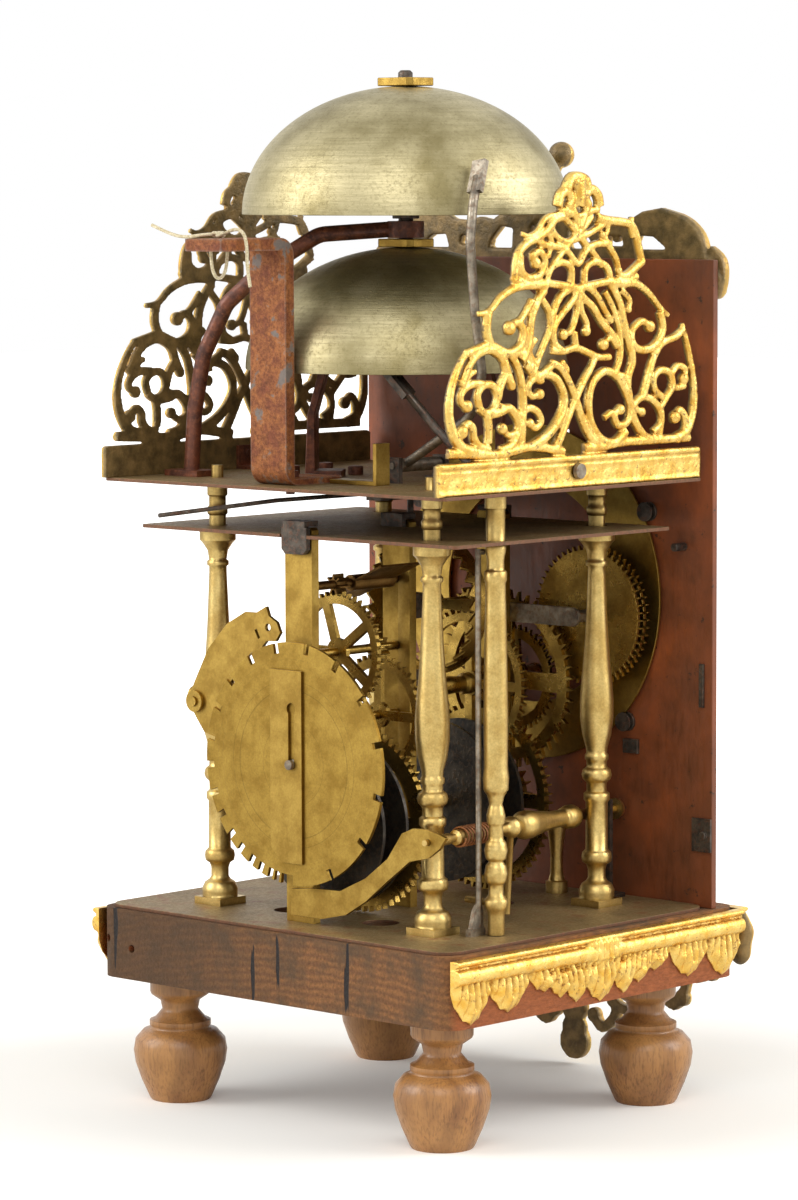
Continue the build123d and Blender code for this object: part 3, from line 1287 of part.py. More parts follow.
def make_hammer_cocks():
    """Two small iron ears on the upper plate for the upper hammer's barrel."""
    x, z = upper_hammer_x, deck_z + upper_hammer_z
    half = upper_hammer_barrel / 2
    ears = None
    for y in (upper_hammer_y - half - 1.7, upper_hammer_y + half + 7.0):
        ear = slab(x - 3.6, x + 3.6, y - 1.1, y + 1.1, deck_z, z + 3.4)
        ear += slab(x - 3.6, x + 8.0, y - 1.1, y + 1.1, deck_z, deck_z + 1.6)
        ears = ear if ears is None else ears + ear
    return ears - rod(x, z, upper_hammer_y - 40, upper_hammer_y + 40, 2.6 + 2 * fit_clearance)


def make_hammer_spring():
    """Upright iron spring with a spade foot, hooked over towards the hammer arbor."""
    x, y, r = spring_rod_x, spring_rod_y, spring_rod_diameter / 2
    top = lower_plate_z - 2.0
    stem = Pos(x, y, top / 2) * Cylinder(r, top)
    hook = spindle((x, y, top - r), (x - 0.6, y - 2.6, top - r), 2.4)
    foot = slab(x - 1.6, x + 1.6, y - 2.2, y + 6.0, 0, 3.0)
    spade = make_face(Polyline((-2.0, 0), (6.0, 0), (3.2, 10.0), (0, 14.0), (-1.6, 10.0), close=True))
    plane = Plane(origin=(x - 1.0, y, 0), x_dir=(0, 1, 0), z_dir=(1, 0, 0))
    return stem + hook + foot + extrude(plane * spade, 2.0)


# Frets


# The fret's strokes: width at the start and end, points as (y, height above the plate), and the
# radius of a bead at the end and at the start, or 0.
fret_strokes = [
    (4.2, 4.2, [(76.5, 16.7), (60.2, 15.8), (46.5, 15.1), (30.2, 17.3), (19, 16.3), (9, 14.6)], 0, 0),
    (4.0, 4.0, [(-3.5, 15.4), (-13.5, 15.4), (-28.5, 16.7),
               (-41, 16.7), (-53.5, 16.7), (-69.1, 16.7)], 0, 0),
    (2.4, 5.4, [(65, 56.1), (70.2, 49.8), (74.5, 41.1),
               (75.8, 32.3), (73.5, 24.2), (68.4, 18.6), (61.5, 16.7)], 0, 0),
    (3.6, 4.2, [(69, 42.3), (65.2, 49.2), (59.6, 54.4),
               (52, 56.1), (45, 52.6), (42, 46.3), (39.5, 41.6)], 2.0, 0),
    (3.0, 2.0, [(70, 43.6), (65.2, 45.8), (61.2, 47.8)], 1.3, 0),
    (3.4, 3.4, [(58.4, 34.2), (59.5, 38.8), (55.9, 42.3), (50.5, 42.1),
               (48, 37.6), (50.2, 32.9), (55, 31.6), (58.6, 33.8)], 0, 0),
    (3.6, 3.0, [(56.2, 42.8), (62.8, 43.1), (68.2, 40.3), (69.2, 36.6), (65.5, 34.6)], 2.6, 0),
    (4.0, 3.4, [(52.8, 17.3), (58.4, 18.6), (61.8, 22.1),
               (62.2, 25.8), (65.2, 27.8), (68.5, 24.8)], 2.8, 0),
    (3.8, 3.6, [(54, 31.7), (53, 26.1), (53.2, 19.8)], 0, 0),
    (4.0, 3.8, [(51.2, 31.1), (46.5, 31.6), (40.9, 32.9),
               (36, 28.3), (35.8, 23.6), (40, 18.3), (46.5, 16.7)], 0, 0),
    (3.2, 2.6, [(35.8, 23.6), (40.9, 22.3), (45, 25.1)], 2.4, 0),
    (3.8, 3.8, [(47.8, 36.7), (45.9, 42.3), (42.5, 46.3)], 0, 0),
    (3.6, 4.0, [(41.2, 54.8), (35.9, 48.6), (33.8, 42.3),
               (32.8, 34.8), (33.4, 27.3), (34, 19.8), (35.9, 15.4)], 0, 0),
    (3.4, 3.2, [(46.5, 33.6), (40.9, 32.6), (34.6, 29.8)], 0, 0),
    (3.6, 3.0, [(33.4, 31.1), (29, 32.6), (24.2, 30.8), (22.2, 27.1), (25.5, 24.6), (29, 26.6)], 2.2, 0),
    (3.0, 4.6, [(23.2, 37.8), (28, 37.1), (30, 40.6), (27.1, 43.8), (20.2, 45.4), (13.4, 43.6),
               (9, 37.9), (8.8, 32.3), (12.8, 26.1), (19, 21.3), (27.8, 17.3)], 0, 2.4),
    (3.6, 4.2, [(16.5, 49.8), (10.9, 47.9), (5.9, 42.3),
               (1.5, 34.8), (-2.2, 27.3), (-6.2, 21.3), (-12.2, 15.4)], 0, 0),
    (3.2, 4.2, [(-11, 51.7), (-7.9, 47.3), (-3.5, 42.3),
               (0.9, 36.1), (5.2, 29.8), (9.5, 22.3), (14, 15.4)], 0, 0),
    (2.6, 2.2, [(9, 43.6), (6.2, 46.8), (9.2, 49.8)], 1.4, 0),
    (4.4, 3.2, [(-29.1, 21.1), (-22.2, 16.7), (-14.1, 18.3), (-7.9, 24.8), (-6.2, 32.9), (-8.8, 41.1),
               (-15.4, 45.4), (-21.6, 44.3), (-26.6, 40.4), (-31.6, 32.3), (-30.4, 24.8), (-24.5, 23.6),
               (-22.2, 27.9), (-25.8, 29.8)], 2.4, 0),
    (2.8, 2.8, [(-16, 26.7), (-20.4, 28.8), (-22.2, 27.3)], 1.8, 0),
    (4.0, 4.0, [(-32.2, 56.1), (-33.2, 48.6), (-30.4, 42.3),
               (-31, 34.8), (-34.1, 26.1), (-39.8, 19.2), (-46, 16.7)], 0, 0),
    (3.6, 3.2, [(-33.5, 31.1), (-39.1, 34.2), (-46, 32.9), (-51, 27.9), (-51, 22.9), (-46, 19.8)], 0, 0),
    (3.0, 3.0, [(-34.8, 29.8), (-39.1, 28.3)], 2.2, 0),
    (2.4, 5.0, [(-64.5, 63.3), (-67.5, 56.1), (-70.5, 46.1),
               (-72.2, 36.1), (-71.5, 27.3), (-67.5, 19.8), (-61, 16.7)], 0, 0),
    (4.0, 3.0, [(-66.6, 19.2), (-66.5, 24.8), (-63.2, 28.3), (-60, 25.3)], 2.8, 0),
    (3.4, 4.0, [(-65.5, 60.8), (-59.8, 57.8), (-52.2, 55.8),
               (-47.2, 51.1), (-43.5, 43.6), (-41, 37.3), (-39.1, 33.6)], 0, 0),
    (3.4, 3.4, [(-52.5, 33.6), (-47.2, 37.1), (-47, 42.3), (-51.6, 44.8),
               (-57.2, 43.1), (-58.5, 37.9), (-54.8, 33.8), (-51, 29.8)], 0, 0),
    (3.2, 3.0, [(-57.2, 42.3), (-61.6, 46.1), (-66.8, 44.6), (-65.5, 40.8)], 2.6, 0),
    (3.4, 3.0, [(-51, 29.8), (-51.6, 23.6), (-49.8, 16.7)], 0, 0),
    (3.0, 3.0, [(-66.6, 37.9), (-61, 37.3), (-57.2, 39.8)], 0, 0),
    (3.4, 3.4, [(66.5, 54.8), (59, 56.7), (51.5, 57.9), (42.8, 54.8), (34, 54.2), (30.2, 54.8)], 0, 0),
    (2.2, 4.4, [(59.2, 70.1), (52.1, 71.1), (45.9, 76.1), (37.8, 79.6), (29, 80.8), (19, 80.4)], 0, 0),
    (4.0, 3.4, [(52.8, 71.1), (54, 63.6), (50.2, 56.7), (42.8, 54.2),
               (35, 56.7), (32.5, 62.3), (35.9, 66.3), (40.9, 64.2)], 3.0, 0),
    (3.2, 2.6, [(27.1, 74.8), (31.5, 69.8), (34, 67.3)], 1.6, 0),
    (3.8, 4.0, [(20, 78.6), (24, 74.8), (27.8, 67.9), (29, 61.1), (30.9, 54.8), (34, 51.1)], 0, 0),
    (3.2, 3.0, [(21.5, 74.8), (17.1, 69.8), (16.5, 63.6), (20.2, 57.3), (24, 51.1), (27.1, 44.8)], 0, 0),
    (3.0, 3.4, [(30.2, 59.8), (29, 52.3), (26.5, 46.1), (21.5, 45.8), (14, 49.8)], 0, 0),
    (2.8, 2.6, [(25.2, 59.8), (29, 54.8), (25.2, 49.8)], 1.8, 0),
    (2.2, 4.4, [(-56.2, 66.6), (-51, 69.8), (-43.5, 76.1),
               (-36, 79.8), (-28.5, 80.3), (-19.8, 80.4)], 0, 0),
    (4.0, 3.2, [(-50.5, 68.6), (-52.2, 61.1), (-47.2, 54.8), (-39.1, 53.3),
               (-33.5, 56.1), (-33.2, 61.1), (-39.1, 64.8), (-44.2, 62.6)], 2.6, 0),
    (3.2, 2.6, [(-26, 77.9), (-31.6, 73.6), (-30.8, 69.8)], 1.8, 0),
    (3.8, 4.0, [(-19.8, 79.8), (-24.8, 73.6), (-27.5, 66.1), (-30, 58.6), (-32.5, 52.3)], 0, 0),
    (3.2, 3.2, [(-16, 77.3), (-20.8, 71.1), (-24.5, 63.6), (-26, 54.8), (-25, 48.6), (-21.6, 43.6)], 0, 0),
    (3.6, 3.4, [(0, 78.6), (4, 73.6), (10.2, 68.6), (14.6, 63.6), (14, 57.3), (9, 54.2)], 0, 0),
    (3.4, 3.2, [(4, 79.2), (10.2, 76.1), (14, 71.1), (16.5, 64.8)], 0, 0),
    (3.6, 3.4, [(0, 78.6), (-3.5, 74.8), (-9.1, 71.1), (-14.8, 64.8), (-21, 59.8), (-24.2, 54.8)], 0, 0),
    (3.4, 3.2, [(-5.4, 79.2), (-11, 76.1), (-16, 69.8), (-20.4, 64.8)], 0, 0),
    (3.2, 2.6, [(0, 77.3), (0.5, 69.8), (4, 62.3), (9, 60.8)], 2.4, 0),
    (3.2, 2.6, [(-1, 76.1), (-2.2, 69.8), (-5.5, 64.8), (-5, 61.7)], 2.2, 0),
    (3.2, 3.2, [(16.5, 54.8), (9, 54.1), (1.5, 55.3), (-6, 53.3), (-12.2, 51.3), (-19.8, 51.1)], 0, 0),
    (3.0, 2.6, [(-24.2, 54.8), (-19.8, 58.6), (-15.4, 56.1)], 2.6, 0),
    (3.2, 3.0, [(2.1, 61.7), (0.9, 54.8)], 0, 0),
    (3.6, 3.6, [(31.5, 49.8), (24, 43.6), (21.5, 43.6)], 0, 0),
    (3.6, 3.6, [(-22.2, 43.6), (-28.5, 42.3), (-31.6, 34.8)], 0, 0),
    (3.0, 3.6, [(38.8, 82.8), (30.2, 81.8), (19, 81.3), (6.5, 79.8), (0, 78.6)], 0, 0),
    (3.0, 3.6, [(-36.6, 82.8), (-28.5, 81.6), (-18.5, 81.1), (-7.2, 79.8), (0, 78.6)], 0, 0),
    (3.4, 4.0, [(37.5, 82.6), (37, 88.6), (35, 93.6), (30.2, 97.1),
               (24, 99.2), (19, 101.7), (14, 106.1), (9, 107.3)], 0, 0),
    (2.0, 2.6, [(33.2, 100.8), (29, 99.8), (24, 101.7), (19, 106.7), (11.5, 108.3)], 0, 0),
    (4.2, 3.2, [(35, 92.3), (34, 86.1), (29, 83.3), (22.8, 84.8),
               (20, 89.8), (22.8, 93.6), (27.1, 92.3), (25.2, 89.2)], 2.4, 0),
    (3.6, 4.0, [(-39.1, 88.6), (-37.5, 93.6), (-35.4, 99.8),
               (-32.2, 103.6), (-26, 104.8), (-18.5, 105.4), (-11, 106.7)], 0, 0),
    (2.2, 3.0, [(-33.5, 106.6), (-32.2, 102.9), (-34.1, 98.6)], 0, 0),
    (4.0, 3.2, [(-39.8, 89.2), (-34.8, 86.1), (-29.1, 83.3), (-24.8, 83.8)], 0, 0),
    (3.2, 2.8, [(-16, 98.6), (-19.8, 94.2), (-23.5, 89.8), (-24.8, 85.4)], 1.8, 0),
    (3.2, 3.2, [(19, 81.7), (15.9, 87.3), (9, 89.2), (4, 86.7), (4, 80.4)], 0, 0),
    (3.2, 3.2, [(-4.1, 80.4), (-4.8, 86.7), (-11, 89.2), (-17.9, 86.7), (-19.8, 81.7)], 0, 0),
    (3.2, 3.2, [(25.2, 98.6), (19, 96.1), (11.5, 95.4), (6.5, 93.6),
               (0, 88.6), (-4.8, 93.6), (-11, 96.1), (-19.8, 96.1)], 0, 0),
    (3.0, 3.0, [(16.5, 104.8), (14, 100.4), (7.8, 97.3), (0, 98.6), (-8.5, 101.1), (-16, 104.2)], 0, 0),
    (3.0, 3.0, [(9, 107.3), (2.8, 102.9), (-3.5, 97.3), (-9.8, 92.3), (-14.8, 87.3)], 0, 0),
    (3.0, 3.0, [(-8.5, 107.3), (-3.5, 102.9), (2.8, 98.6), (9, 93.6), (14.6, 88.6)], 0, 0),
    (3.0, 2.6, [(19, 101.7), (15.9, 97.3), (17.8, 92.3)], 1.6, 0),
    (2.8, 2.6, [(-18.5, 105.4), (-17.5, 100.4), (-14.8, 99.8)], 1.6, 0),
    (4.6, 4.0, [(12.1, 111.1), (10.9, 115.4), (7.1, 117.3), (4, 114.2), (6.5, 111.1)], 1.4, 0),
    (4.6, 4.0, [(-12.9, 111.1), (-12, 115.4), (-7.9, 117.9), (-4.5, 114.8), (-6.6, 111.1)], 1.4, 0),
    (5.2, 4.4, [(6.8, 118.6), (4, 122.1), (-0.5, 122.6), (-4.8, 121.3), (-5.5, 118.3)], 0, 2.6),
    (7.0, 6.0, [(0, 121.1), (-0.5, 116.1), (-0.2, 111.1)], 0, 0),
    (3.6, 3.6, [(4, 111.1), (1.5, 107.3), (0, 102.9)], 0, 0),
    (3.6, 3.6, [(-5.4, 111.1), (-3.5, 107.3), (-1, 102.9)], 0, 0),
    (3.2, 3.2, [(11.5, 109.8), (6.5, 109.2), (0, 107.3), (-7.2, 109.2), (-12.5, 109.8)], 0, 0),
]


def fret_sketch():
    """Openwork side fret, drawn with y along the sketch's x and the deck at its zero."""
    middle = (fret_rear - fret_front) / 2
    whole = Pos(middle, fret_base_height / 2) * Rectangle(fret_front + fret_rear, fret_base_height)
    strokes = []
    for start, end, points, bead, first_bead in fret_strokes:
        strokes += ribbon(points, start, end, bead, first_bead)
    return whole + strokes


fret_face = fret_sketch()


def make_fret(side):
    """One gilt side fret standing on the upper plate's edge."""
    inner = side * (fret_plane_x - fret_thickness / 2)
    plane = Plane(origin=(inner, 0, deck_z), x_dir=(0, 1, 0), z_dir=(1, 0, 0))
    fret = extrude(plane * fret_face, fret_thickness * side)
    lip = slab(*sorted((inner, side * (fret_plane_x + fret_thickness / 2 + 1.2))), -fret_front, fret_rear,
               deck_z + fret_base_height - 3.0, deck_z + fret_base_height)
    return fret + lip - fret_screw_hole(side)


def fret_screw_hole(side):
    place = Pos(side * fret_plane_x, 1.5, deck_z + 6.5) * Rot(0, 90, 0)
    return place * Cylinder(1.6, 12)


def make_fret_tab(side):
    """Iron angle that holds a fret to the plate, with its screw."""
    inner = fret_plane_x - fret_thickness / 2
    tab = slab(*sorted((side * (inner - 1.4), side * inner)), -4.5, 7.5, deck_z, deck_z + 10.0)
    tab += slab(*sorted((side * (inner - 10.0), side * inner)), -4.5, 7.5, deck_z, deck_z + 1.4)
    screw = Pos(side * (inner - 1.0), 1.5, deck_z + 6.5) * Rot(0, side * 90, 0)
    shank = turned([(-1.0, 3.0), (fret_thickness + 1.0, 3.0), (fret_thickness + 1.0, 6.6),
                    (fret_thickness + 2.6, 6.0)])
    return tab + screw * shank


crest_edge = [(97.0, -3), (98.0, 4), (95.5, 9), (92.5, 12), (89.5, 13), (88.5, 19), (83.5, 26), (76.0, 30.5),
              (66.0, 33.0), (56.0, 31.5), (49.0, 28.0), (42.0, 27.5), (34.0, 29.0), (26.0, 27.5), (20.0, 30.0),
              (15.0, 35.5), (11.5, 42.0), (7.0, 44.0)]
crest_holes = [((70.0, 15.5), (62.0, 21.0), (54.0, 21.5), (52.0, 15.5)),
               ((46.0, 17.0), (45.0, 21.0), (38.0, 21.5), (37.0, 17.0)),
               ((29.0, 15.5), (27.5, 19.5), (22.0, 25.0), (15.5, 24.0), (16.0, 15.5))]


def make_crest():
    """Gilt front crest above the dial: a band, scrolls, a leaf at each corner and a leaning finial."""
    low = dial_height - 12.0
    points = [Vector(x, z) for x, z in crest_edge]
    outline = make_face(Polyline(points + [Vector(-p.X, p.Y) for p in reversed(points)], close=True))
    outline -= Pos(0, -4.0) * Rectangle(2 * 88.0, 14.0)
    for hole in crest_holes:
        for side in (-1, 1):
            outline -= make_face(Polyline([Vector(side * x, z) for x, z in hole], close=True))
    outline -= Pos(0, 22) * Circle(6.0)
    crest = upright(Pos(0, low) * outline, dial_y - crest_thickness / 2, crest_thickness)
    foot = low + crest_height
    y = dial_y - crest_thickness
    knob = (0.0, y - finial_lean, foot + finial_rise)
    stem = spindle((0.0, y + 1.6, foot - 8.0), knob, 5.0)
    return crest + stem + Pos(*knob) * Sphere(5.6)


def make_dial_fixings():
    """Small iron plates, stubs and hook on the back of the dial."""
    back = dial_y + dial_thickness
    edge = -dial_width / 2
    parts = slab(edge, edge + 10, back, back + 1.2, 22, 36)
    parts += rod(edge + 3.5, 29, back + 1.0, back + 2.4, 3.4)
    parts += slab(edge + 4, edge + 6.4, back, back + 1.2, 82, 100)
    parts += rod(-82, 148, back, back + 7.0, 3.4)
    parts += slab(-58, -50, back, back + 1.6, 60, 66)
    return group([parts, *make_ring_studs()])


def make_deck_screws():
    """Cheese-head screws on the upper plate."""
    screws = None
    shape = [(0, 6.4), (3.2, 6.4), (3.6, 5.6)]
    for x, y in ((28, 1), (53, -7), (50, 16), (-4, -30)):
        screw = turned(shape, (x, y, deck_z))
        screws = screw if screws is None else screws + screw
    foot = deck_z + bracket_thickness * 0.55
    head = turned([(foot, 7.0), (foot + 2.6, 7.0)], (bracket_x, bracket_screw_y, 0))
    head += turned([(upper_plate_z - 2.8, 3.6), (foot + 0.5, 3.6)], (bracket_x, bracket_screw_y, 0))
    return screws + head


def make_brass_stop():
    """Bent brass strip on the upper plate."""
    return slab(-29, -3, 41, 49, deck_z, deck_z + 1.8) + slab(-29, -27, 41, 49, deck_z, deck_z + 17.0)


def group(bodies):
    """Several separate solids that share one file."""
    solids = [solid for body in bodies for solid in body.solids()]
    return Compound(solids)


def make_feet():
    x = board_width / 2 - foot_inset_side
    rear, front = board_rear - foot_inset_rear, -board_front + foot_inset_front
    return group([make_foot(side * x, y) for side in (-1, 1) for y in (front, rear)])


def rear_bar_holes():
    low, high = strike_rear - 1, strike_rear + pivot_length + 0.1
    through = rear_bar_y + bar_thickness
    holes = [(0, strike_great_z, great_pivot_diameter, low, through)]
    return holes + [(0, z, pivot_diameter, low, high) for z in (second_z, third_z, fly_z)]


def middle_bar_holes():
    low, high = strike_front - pivot_length - 0.1, strike_front + 1
    holes = [(0, strike_great_z, great_pivot_diameter, low, high)]
    holes += [(0, z, pivot_diameter, low, high) for z in (second_z, third_z, fly_z)]
    low, high = going_rear - 1, going_rear + pivot_length + 0.1
    holes += [(0, going_great_z, great_pivot_diameter, low, high)]
    return holes + [(0, minute_z, pivot_diameter, low, high)]


def front_bar_holes():
    low, high = front_bar_y - bar_thickness, going_front + 1
    holes = [(0, going_great_z, great_pivot_diameter, low, high)]
    holes += [(0, minute_z, minute_arbor_diameter - 1.0, low, high)]
    return holes + [(0, crown_z, pivot_diameter, going_front - pivot_length - 0.1, high)]


def put(name, body):
    """Write one piece with the floor at z = 0 and the origin under the middle of the outline."""
    placed = Pos(0, origin_y, -floor_z) * body
    placed.label = name
    export_step(placed, "parts/" + name + ".step")
    return placed


second_pinion = pinion_face(strike_second_leaves, strike_great_module, second_pinion_turn)
third_pinion = pinion_face(strike_third_leaves, strike_second_module, third_pinion_turn)
string_loop, long_tail, short_tail, knot_place = suspension_points()

pieces = {
    "stool_board": make_board(),
    "stool_feet": make_feet(),
    "left_moulding": make_side_moulding(-1),
    "right_moulding": make_side_moulding(1),
    "front_moulding": make_front_moulding(),
    "front_apron": make_apron(),
    "base_plate": make_base_plate(),
    "lower_top_plate": make_lower_plate(),
    "upper_top_plate": make_upper_plate(),
    "pillars": group([make_pillar(*place) for place in pillar_places().values()]),
    "rear_bar": make_bar(rear_bar_y, rear_bar_holes()),
    "middle_bar": make_bar(middle_bar_y, middle_bar_holes()),
    "front_bar": make_bar(front_bar_y, front_bar_holes()),
    "bar_latches": group([make_rear_latch(), make_latch(middle_bar_y, 1), make_latch(front_bar_y, -1)]),
    "dial_plate": make_dial(),
    "chapter_ring": make_chapter_ring(),
    "dial_fixings": make_dial_fixings(),
    "front_crest": make_crest(),
    "left_fret": make_fret(-1),
    "right_fret": make_fret(1),
    "fret_tabs": group([make_fret_tab(-1), make_fret_tab(1)]),
    "bell_stand": make_bell_stand(),
    "bell_stud": make_bell_stud(),
    "lower_bell": make_bell(lower_bell_radius, lower_bell_height, lower_bell_rim_z),
    "upper_bell": make_bell(upper_bell_radius, upper_bell_height, upper_bell_rim_z),
    "bell_nuts": group([bell_nut(lower_crown_z), bell_nut(upper_crown_z)]),
    "upper_bell_stay": make_stay(),
    "pendulum_bracket": make_bracket(),
    "deck_fittings": group([make_deck_screws(), make_brass_stop()]),
    "going_great_wheel": make_going_great_wheel(),
    "going_drum": make_drum(going_drum_y, going_great_z),
    "minute_wheel": make_minute_wheel(),
    "minute_hand": make_hand(minute_hand_length, minute_hand_y, minute_arbor_diameter - 1.0, 5.0),
    "crown_wheel": make_crown_wheel(),
    "verge": group([make_verge(), make_crutch()]),
    "verge_carriers": group([make_verge_cocks(), make_potence(), make_verge_block()]),
    "hour_wheel": make_hour_wheel(),
    "hour_hand": make_hand(hour_hand_length, hour_hand_y, hour_pipe_diameter, 8.0),
    "date_wheels": make_date_wheels(),
    "wheel_studs": group([make_date_stud(), make_count_stud()]),
    "date_ring": make_date_ring(),
    "strike_great_wheel": make_strike_great_wheel(),
    "strike_drum": make_drum(strike_drum_y, strike_great_z),
    "strike_second_wheel": make_strike_wheel(second_z, strike_second_y, strike_second_teeth,
                                             strike_second_module, second_wheel_turn, 4,
                                             second_pinion, strike_great_y),
    "strike_third_wheel": make_strike_wheel(third_z, strike_third_y, strike_third_teeth, strike_third_module,
                                            third_wheel_turn, 5, third_pinion, strike_second_y),
    "fly": group([make_fly_arbor(), make_fly()]),
    "count_wheel": make_count_wheel(),
    "keyhole_strip": make_keyhole_strip(),
    "count_detent": make_detent(),
    "detent_stud": make_detent_stud(),
    "striking_cock": make_cock(),
    "iron_cocks": group([make_hammer_cocks(), make_front_cock()]),
    "release_arbor": make_release_arbor(),
    "release_coil": make_coil(),
    "front_post": make_front_post(),
    "hammer_arbor": group([make_hammer_arbor(), make_lower_hammer()]),
    "upper_hammer": make_upper_hammer(),
    "hammer_spring": make_hammer_spring(),
    "string_loop": group([cord_tube("string_loop", string_loop), make_knot()]),
    "string_tails": group([cord_tube("long_tail", long_tail), cord_tube("short_tail", short_tail)]),
}
for piece_name, piece in pieces.items():
    put(piece_name, piece)
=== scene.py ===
import json
import math

import bmesh
import bpy
from mathutils import Matrix, Vector, noise


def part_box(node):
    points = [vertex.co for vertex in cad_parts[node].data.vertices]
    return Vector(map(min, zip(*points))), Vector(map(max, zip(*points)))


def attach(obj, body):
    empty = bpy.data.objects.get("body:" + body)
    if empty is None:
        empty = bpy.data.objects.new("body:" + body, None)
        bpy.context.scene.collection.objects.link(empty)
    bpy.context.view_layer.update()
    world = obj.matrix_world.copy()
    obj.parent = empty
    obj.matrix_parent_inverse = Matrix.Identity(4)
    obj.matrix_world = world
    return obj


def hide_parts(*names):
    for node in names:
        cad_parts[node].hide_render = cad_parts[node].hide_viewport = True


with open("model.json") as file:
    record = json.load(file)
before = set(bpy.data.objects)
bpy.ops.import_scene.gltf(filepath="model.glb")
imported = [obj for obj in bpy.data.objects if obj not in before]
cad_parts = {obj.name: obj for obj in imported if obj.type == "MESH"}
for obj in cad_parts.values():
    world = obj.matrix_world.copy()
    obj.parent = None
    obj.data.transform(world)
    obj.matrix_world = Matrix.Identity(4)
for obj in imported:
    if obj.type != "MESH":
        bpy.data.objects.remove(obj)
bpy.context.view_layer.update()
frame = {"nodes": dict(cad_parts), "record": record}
nodes = frame["nodes"]
MM = 0.001

# Every place below is in the millimetres in which the movement is drawn: z = 0 is the top of the
# base plate and y = 0 is midway between the pillars. The row frame has its floor and middle here.
BOARD_REAR = 83.0
FLOOR_Z = -82.4
MIDDLE_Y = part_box("stool_board")[1][1] / MM - BOARD_REAR


def place(x, y, z):
    """A point of the movement's own drawing, in metres of the row frame."""
    return Vector((x * MM, (y + MIDDLE_Y) * MM, (z - FLOOR_Z) * MM))


def linear(code):
    """A colour written as sRGB hex, in linear light."""
    parts = [int(code[i:i + 2], 16) / 255 for i in (1, 3, 5)]
    return [c / 12.92 if c <= 0.04045 else ((c + 0.055) / 1.055) ** 2.4 for c in parts] + [1.0]


def per(size_mm):
    """The texture scale at which one cell measures size_mm."""
    return 1.0 / (size_mm * MM)


def add(tree, kind, inputs=None, out=0, **settings):
    """One node with its settings. Its inputs are sockets, values or sRGB hex colours; gives one output."""
    node = tree.nodes.new(kind)
    for key, value in settings.items():
        setattr(node, key, value)
    for key, value in (inputs or {}).items():
        if isinstance(value, bpy.types.NodeSocket):
            tree.links.new(value, node.inputs[key])
        else:
            node.inputs[key].default_value = linear(value) if isinstance(value, str) else value
    return node if out is None or not node.outputs else node.outputs[out]


# Camera: the photograph's viewpoint, a long lens behind and to the left of the movement

CAMERA_AT = (-1308.6, 1406.7, 304.0)
CAMERA_AIM = (2.2, 2.5, 126.5)
CAMERA_LENS = 140.5
CAMERA_ROLL = 0.19

lens = bpy.data.cameras.new("view")
lens.lens, lens.sensor_width = CAMERA_LENS, 36.0
lens.clip_start, lens.clip_end = 0.05, 50.0
camera = bpy.data.objects.new("view", lens)
bpy.context.scene.collection.objects.link(camera)
camera.location = place(*CAMERA_AT)
aim = (place(*CAMERA_AIM) - camera.location).to_track_quat("-Z", "Y")
camera.rotation_mode = "QUATERNION"
camera.rotation_quaternion = aim @ Matrix.Rotation(math.radians(-CAMERA_ROLL), 4, "Z").to_quaternion()
bpy.context.scene.camera = camera
bpy.context.scene.view_settings.view_transform = "Standard"

# Finishes


def blank(name):
    """A new finish with its tree, its shader and the Object coordinates."""
    finish = bpy.data.materials.new(name)
    finish.use_nodes = True
    tree = finish.node_tree
    return finish, tree, tree.nodes["Principled BSDF"], add(tree, "ShaderNodeTexCoord", out=3)


def patches(tree, coords, size_mm, low=0.42, high=0.58, stretch=(1, 1, 1), detail=6.0, rough=0.6):
    """A 0 to 1 mask of soft patches of one size."""
    spread = add(tree, "ShaderNodeMapping", {"Vector": coords, "Scale": stretch})
    cloud = add(tree, "ShaderNodeTexNoise", {"Vector": spread, "Scale": per(size_mm), "Detail": detail,
                                             "Roughness": rough})
    return add(tree, "ShaderNodeMapRange", {"Value": cloud, "From Min": low, "From Max": high})


def shaded_hollows(tree, reach_mm, low=0.85, high=0.35):
    """A mask that is 1 in corners and recesses and 0 on open surface, where shade is painted in."""
    sky = add(tree, "ShaderNodeAmbientOcclusion", {"Distance": reach_mm * MM}, 1, samples=6)
    return add(tree, "ShaderNodeMapRange", {"Value": sky, "From Min": low, "From Max": high})


def worn_over(tree, colour, mask, share, beneath):
    """A colour partly replaced by another where a mask is high."""
    part = add(tree, "ShaderNodeMath", {0: mask, 1: share}, operation="MULTIPLY")
    return add(tree, "ShaderNodeMix", {0: part, 6: colour, 7: beneath}, 2, data_type="RGBA")


def wire_up(tree, shader, colour, rough, metal, height, depth_mm, strength=0.6):
    """Connect a finish's colour, roughness range, metallic share and bump to its shader."""
    tree.links.new(colour, shader.inputs["Base Color"])
    mask, smooth, dull = rough
    spread = add(tree, "ShaderNodeMapRange", {"Value": mask, "To Min": smooth, "To Max": dull})
    tree.links.new(spread, shader.inputs["Roughness"])
    if isinstance(metal, float):
        shader.inputs["Metallic"].default_value = metal
    else:
        tree.links.new(metal, shader.inputs["Metallic"])
    bump = add(tree, "ShaderNodeBump", {"Height": height, "Distance": depth_mm * MM, "Strength": strength})
    tree.links.new(bump, shader.inputs["Normal"])


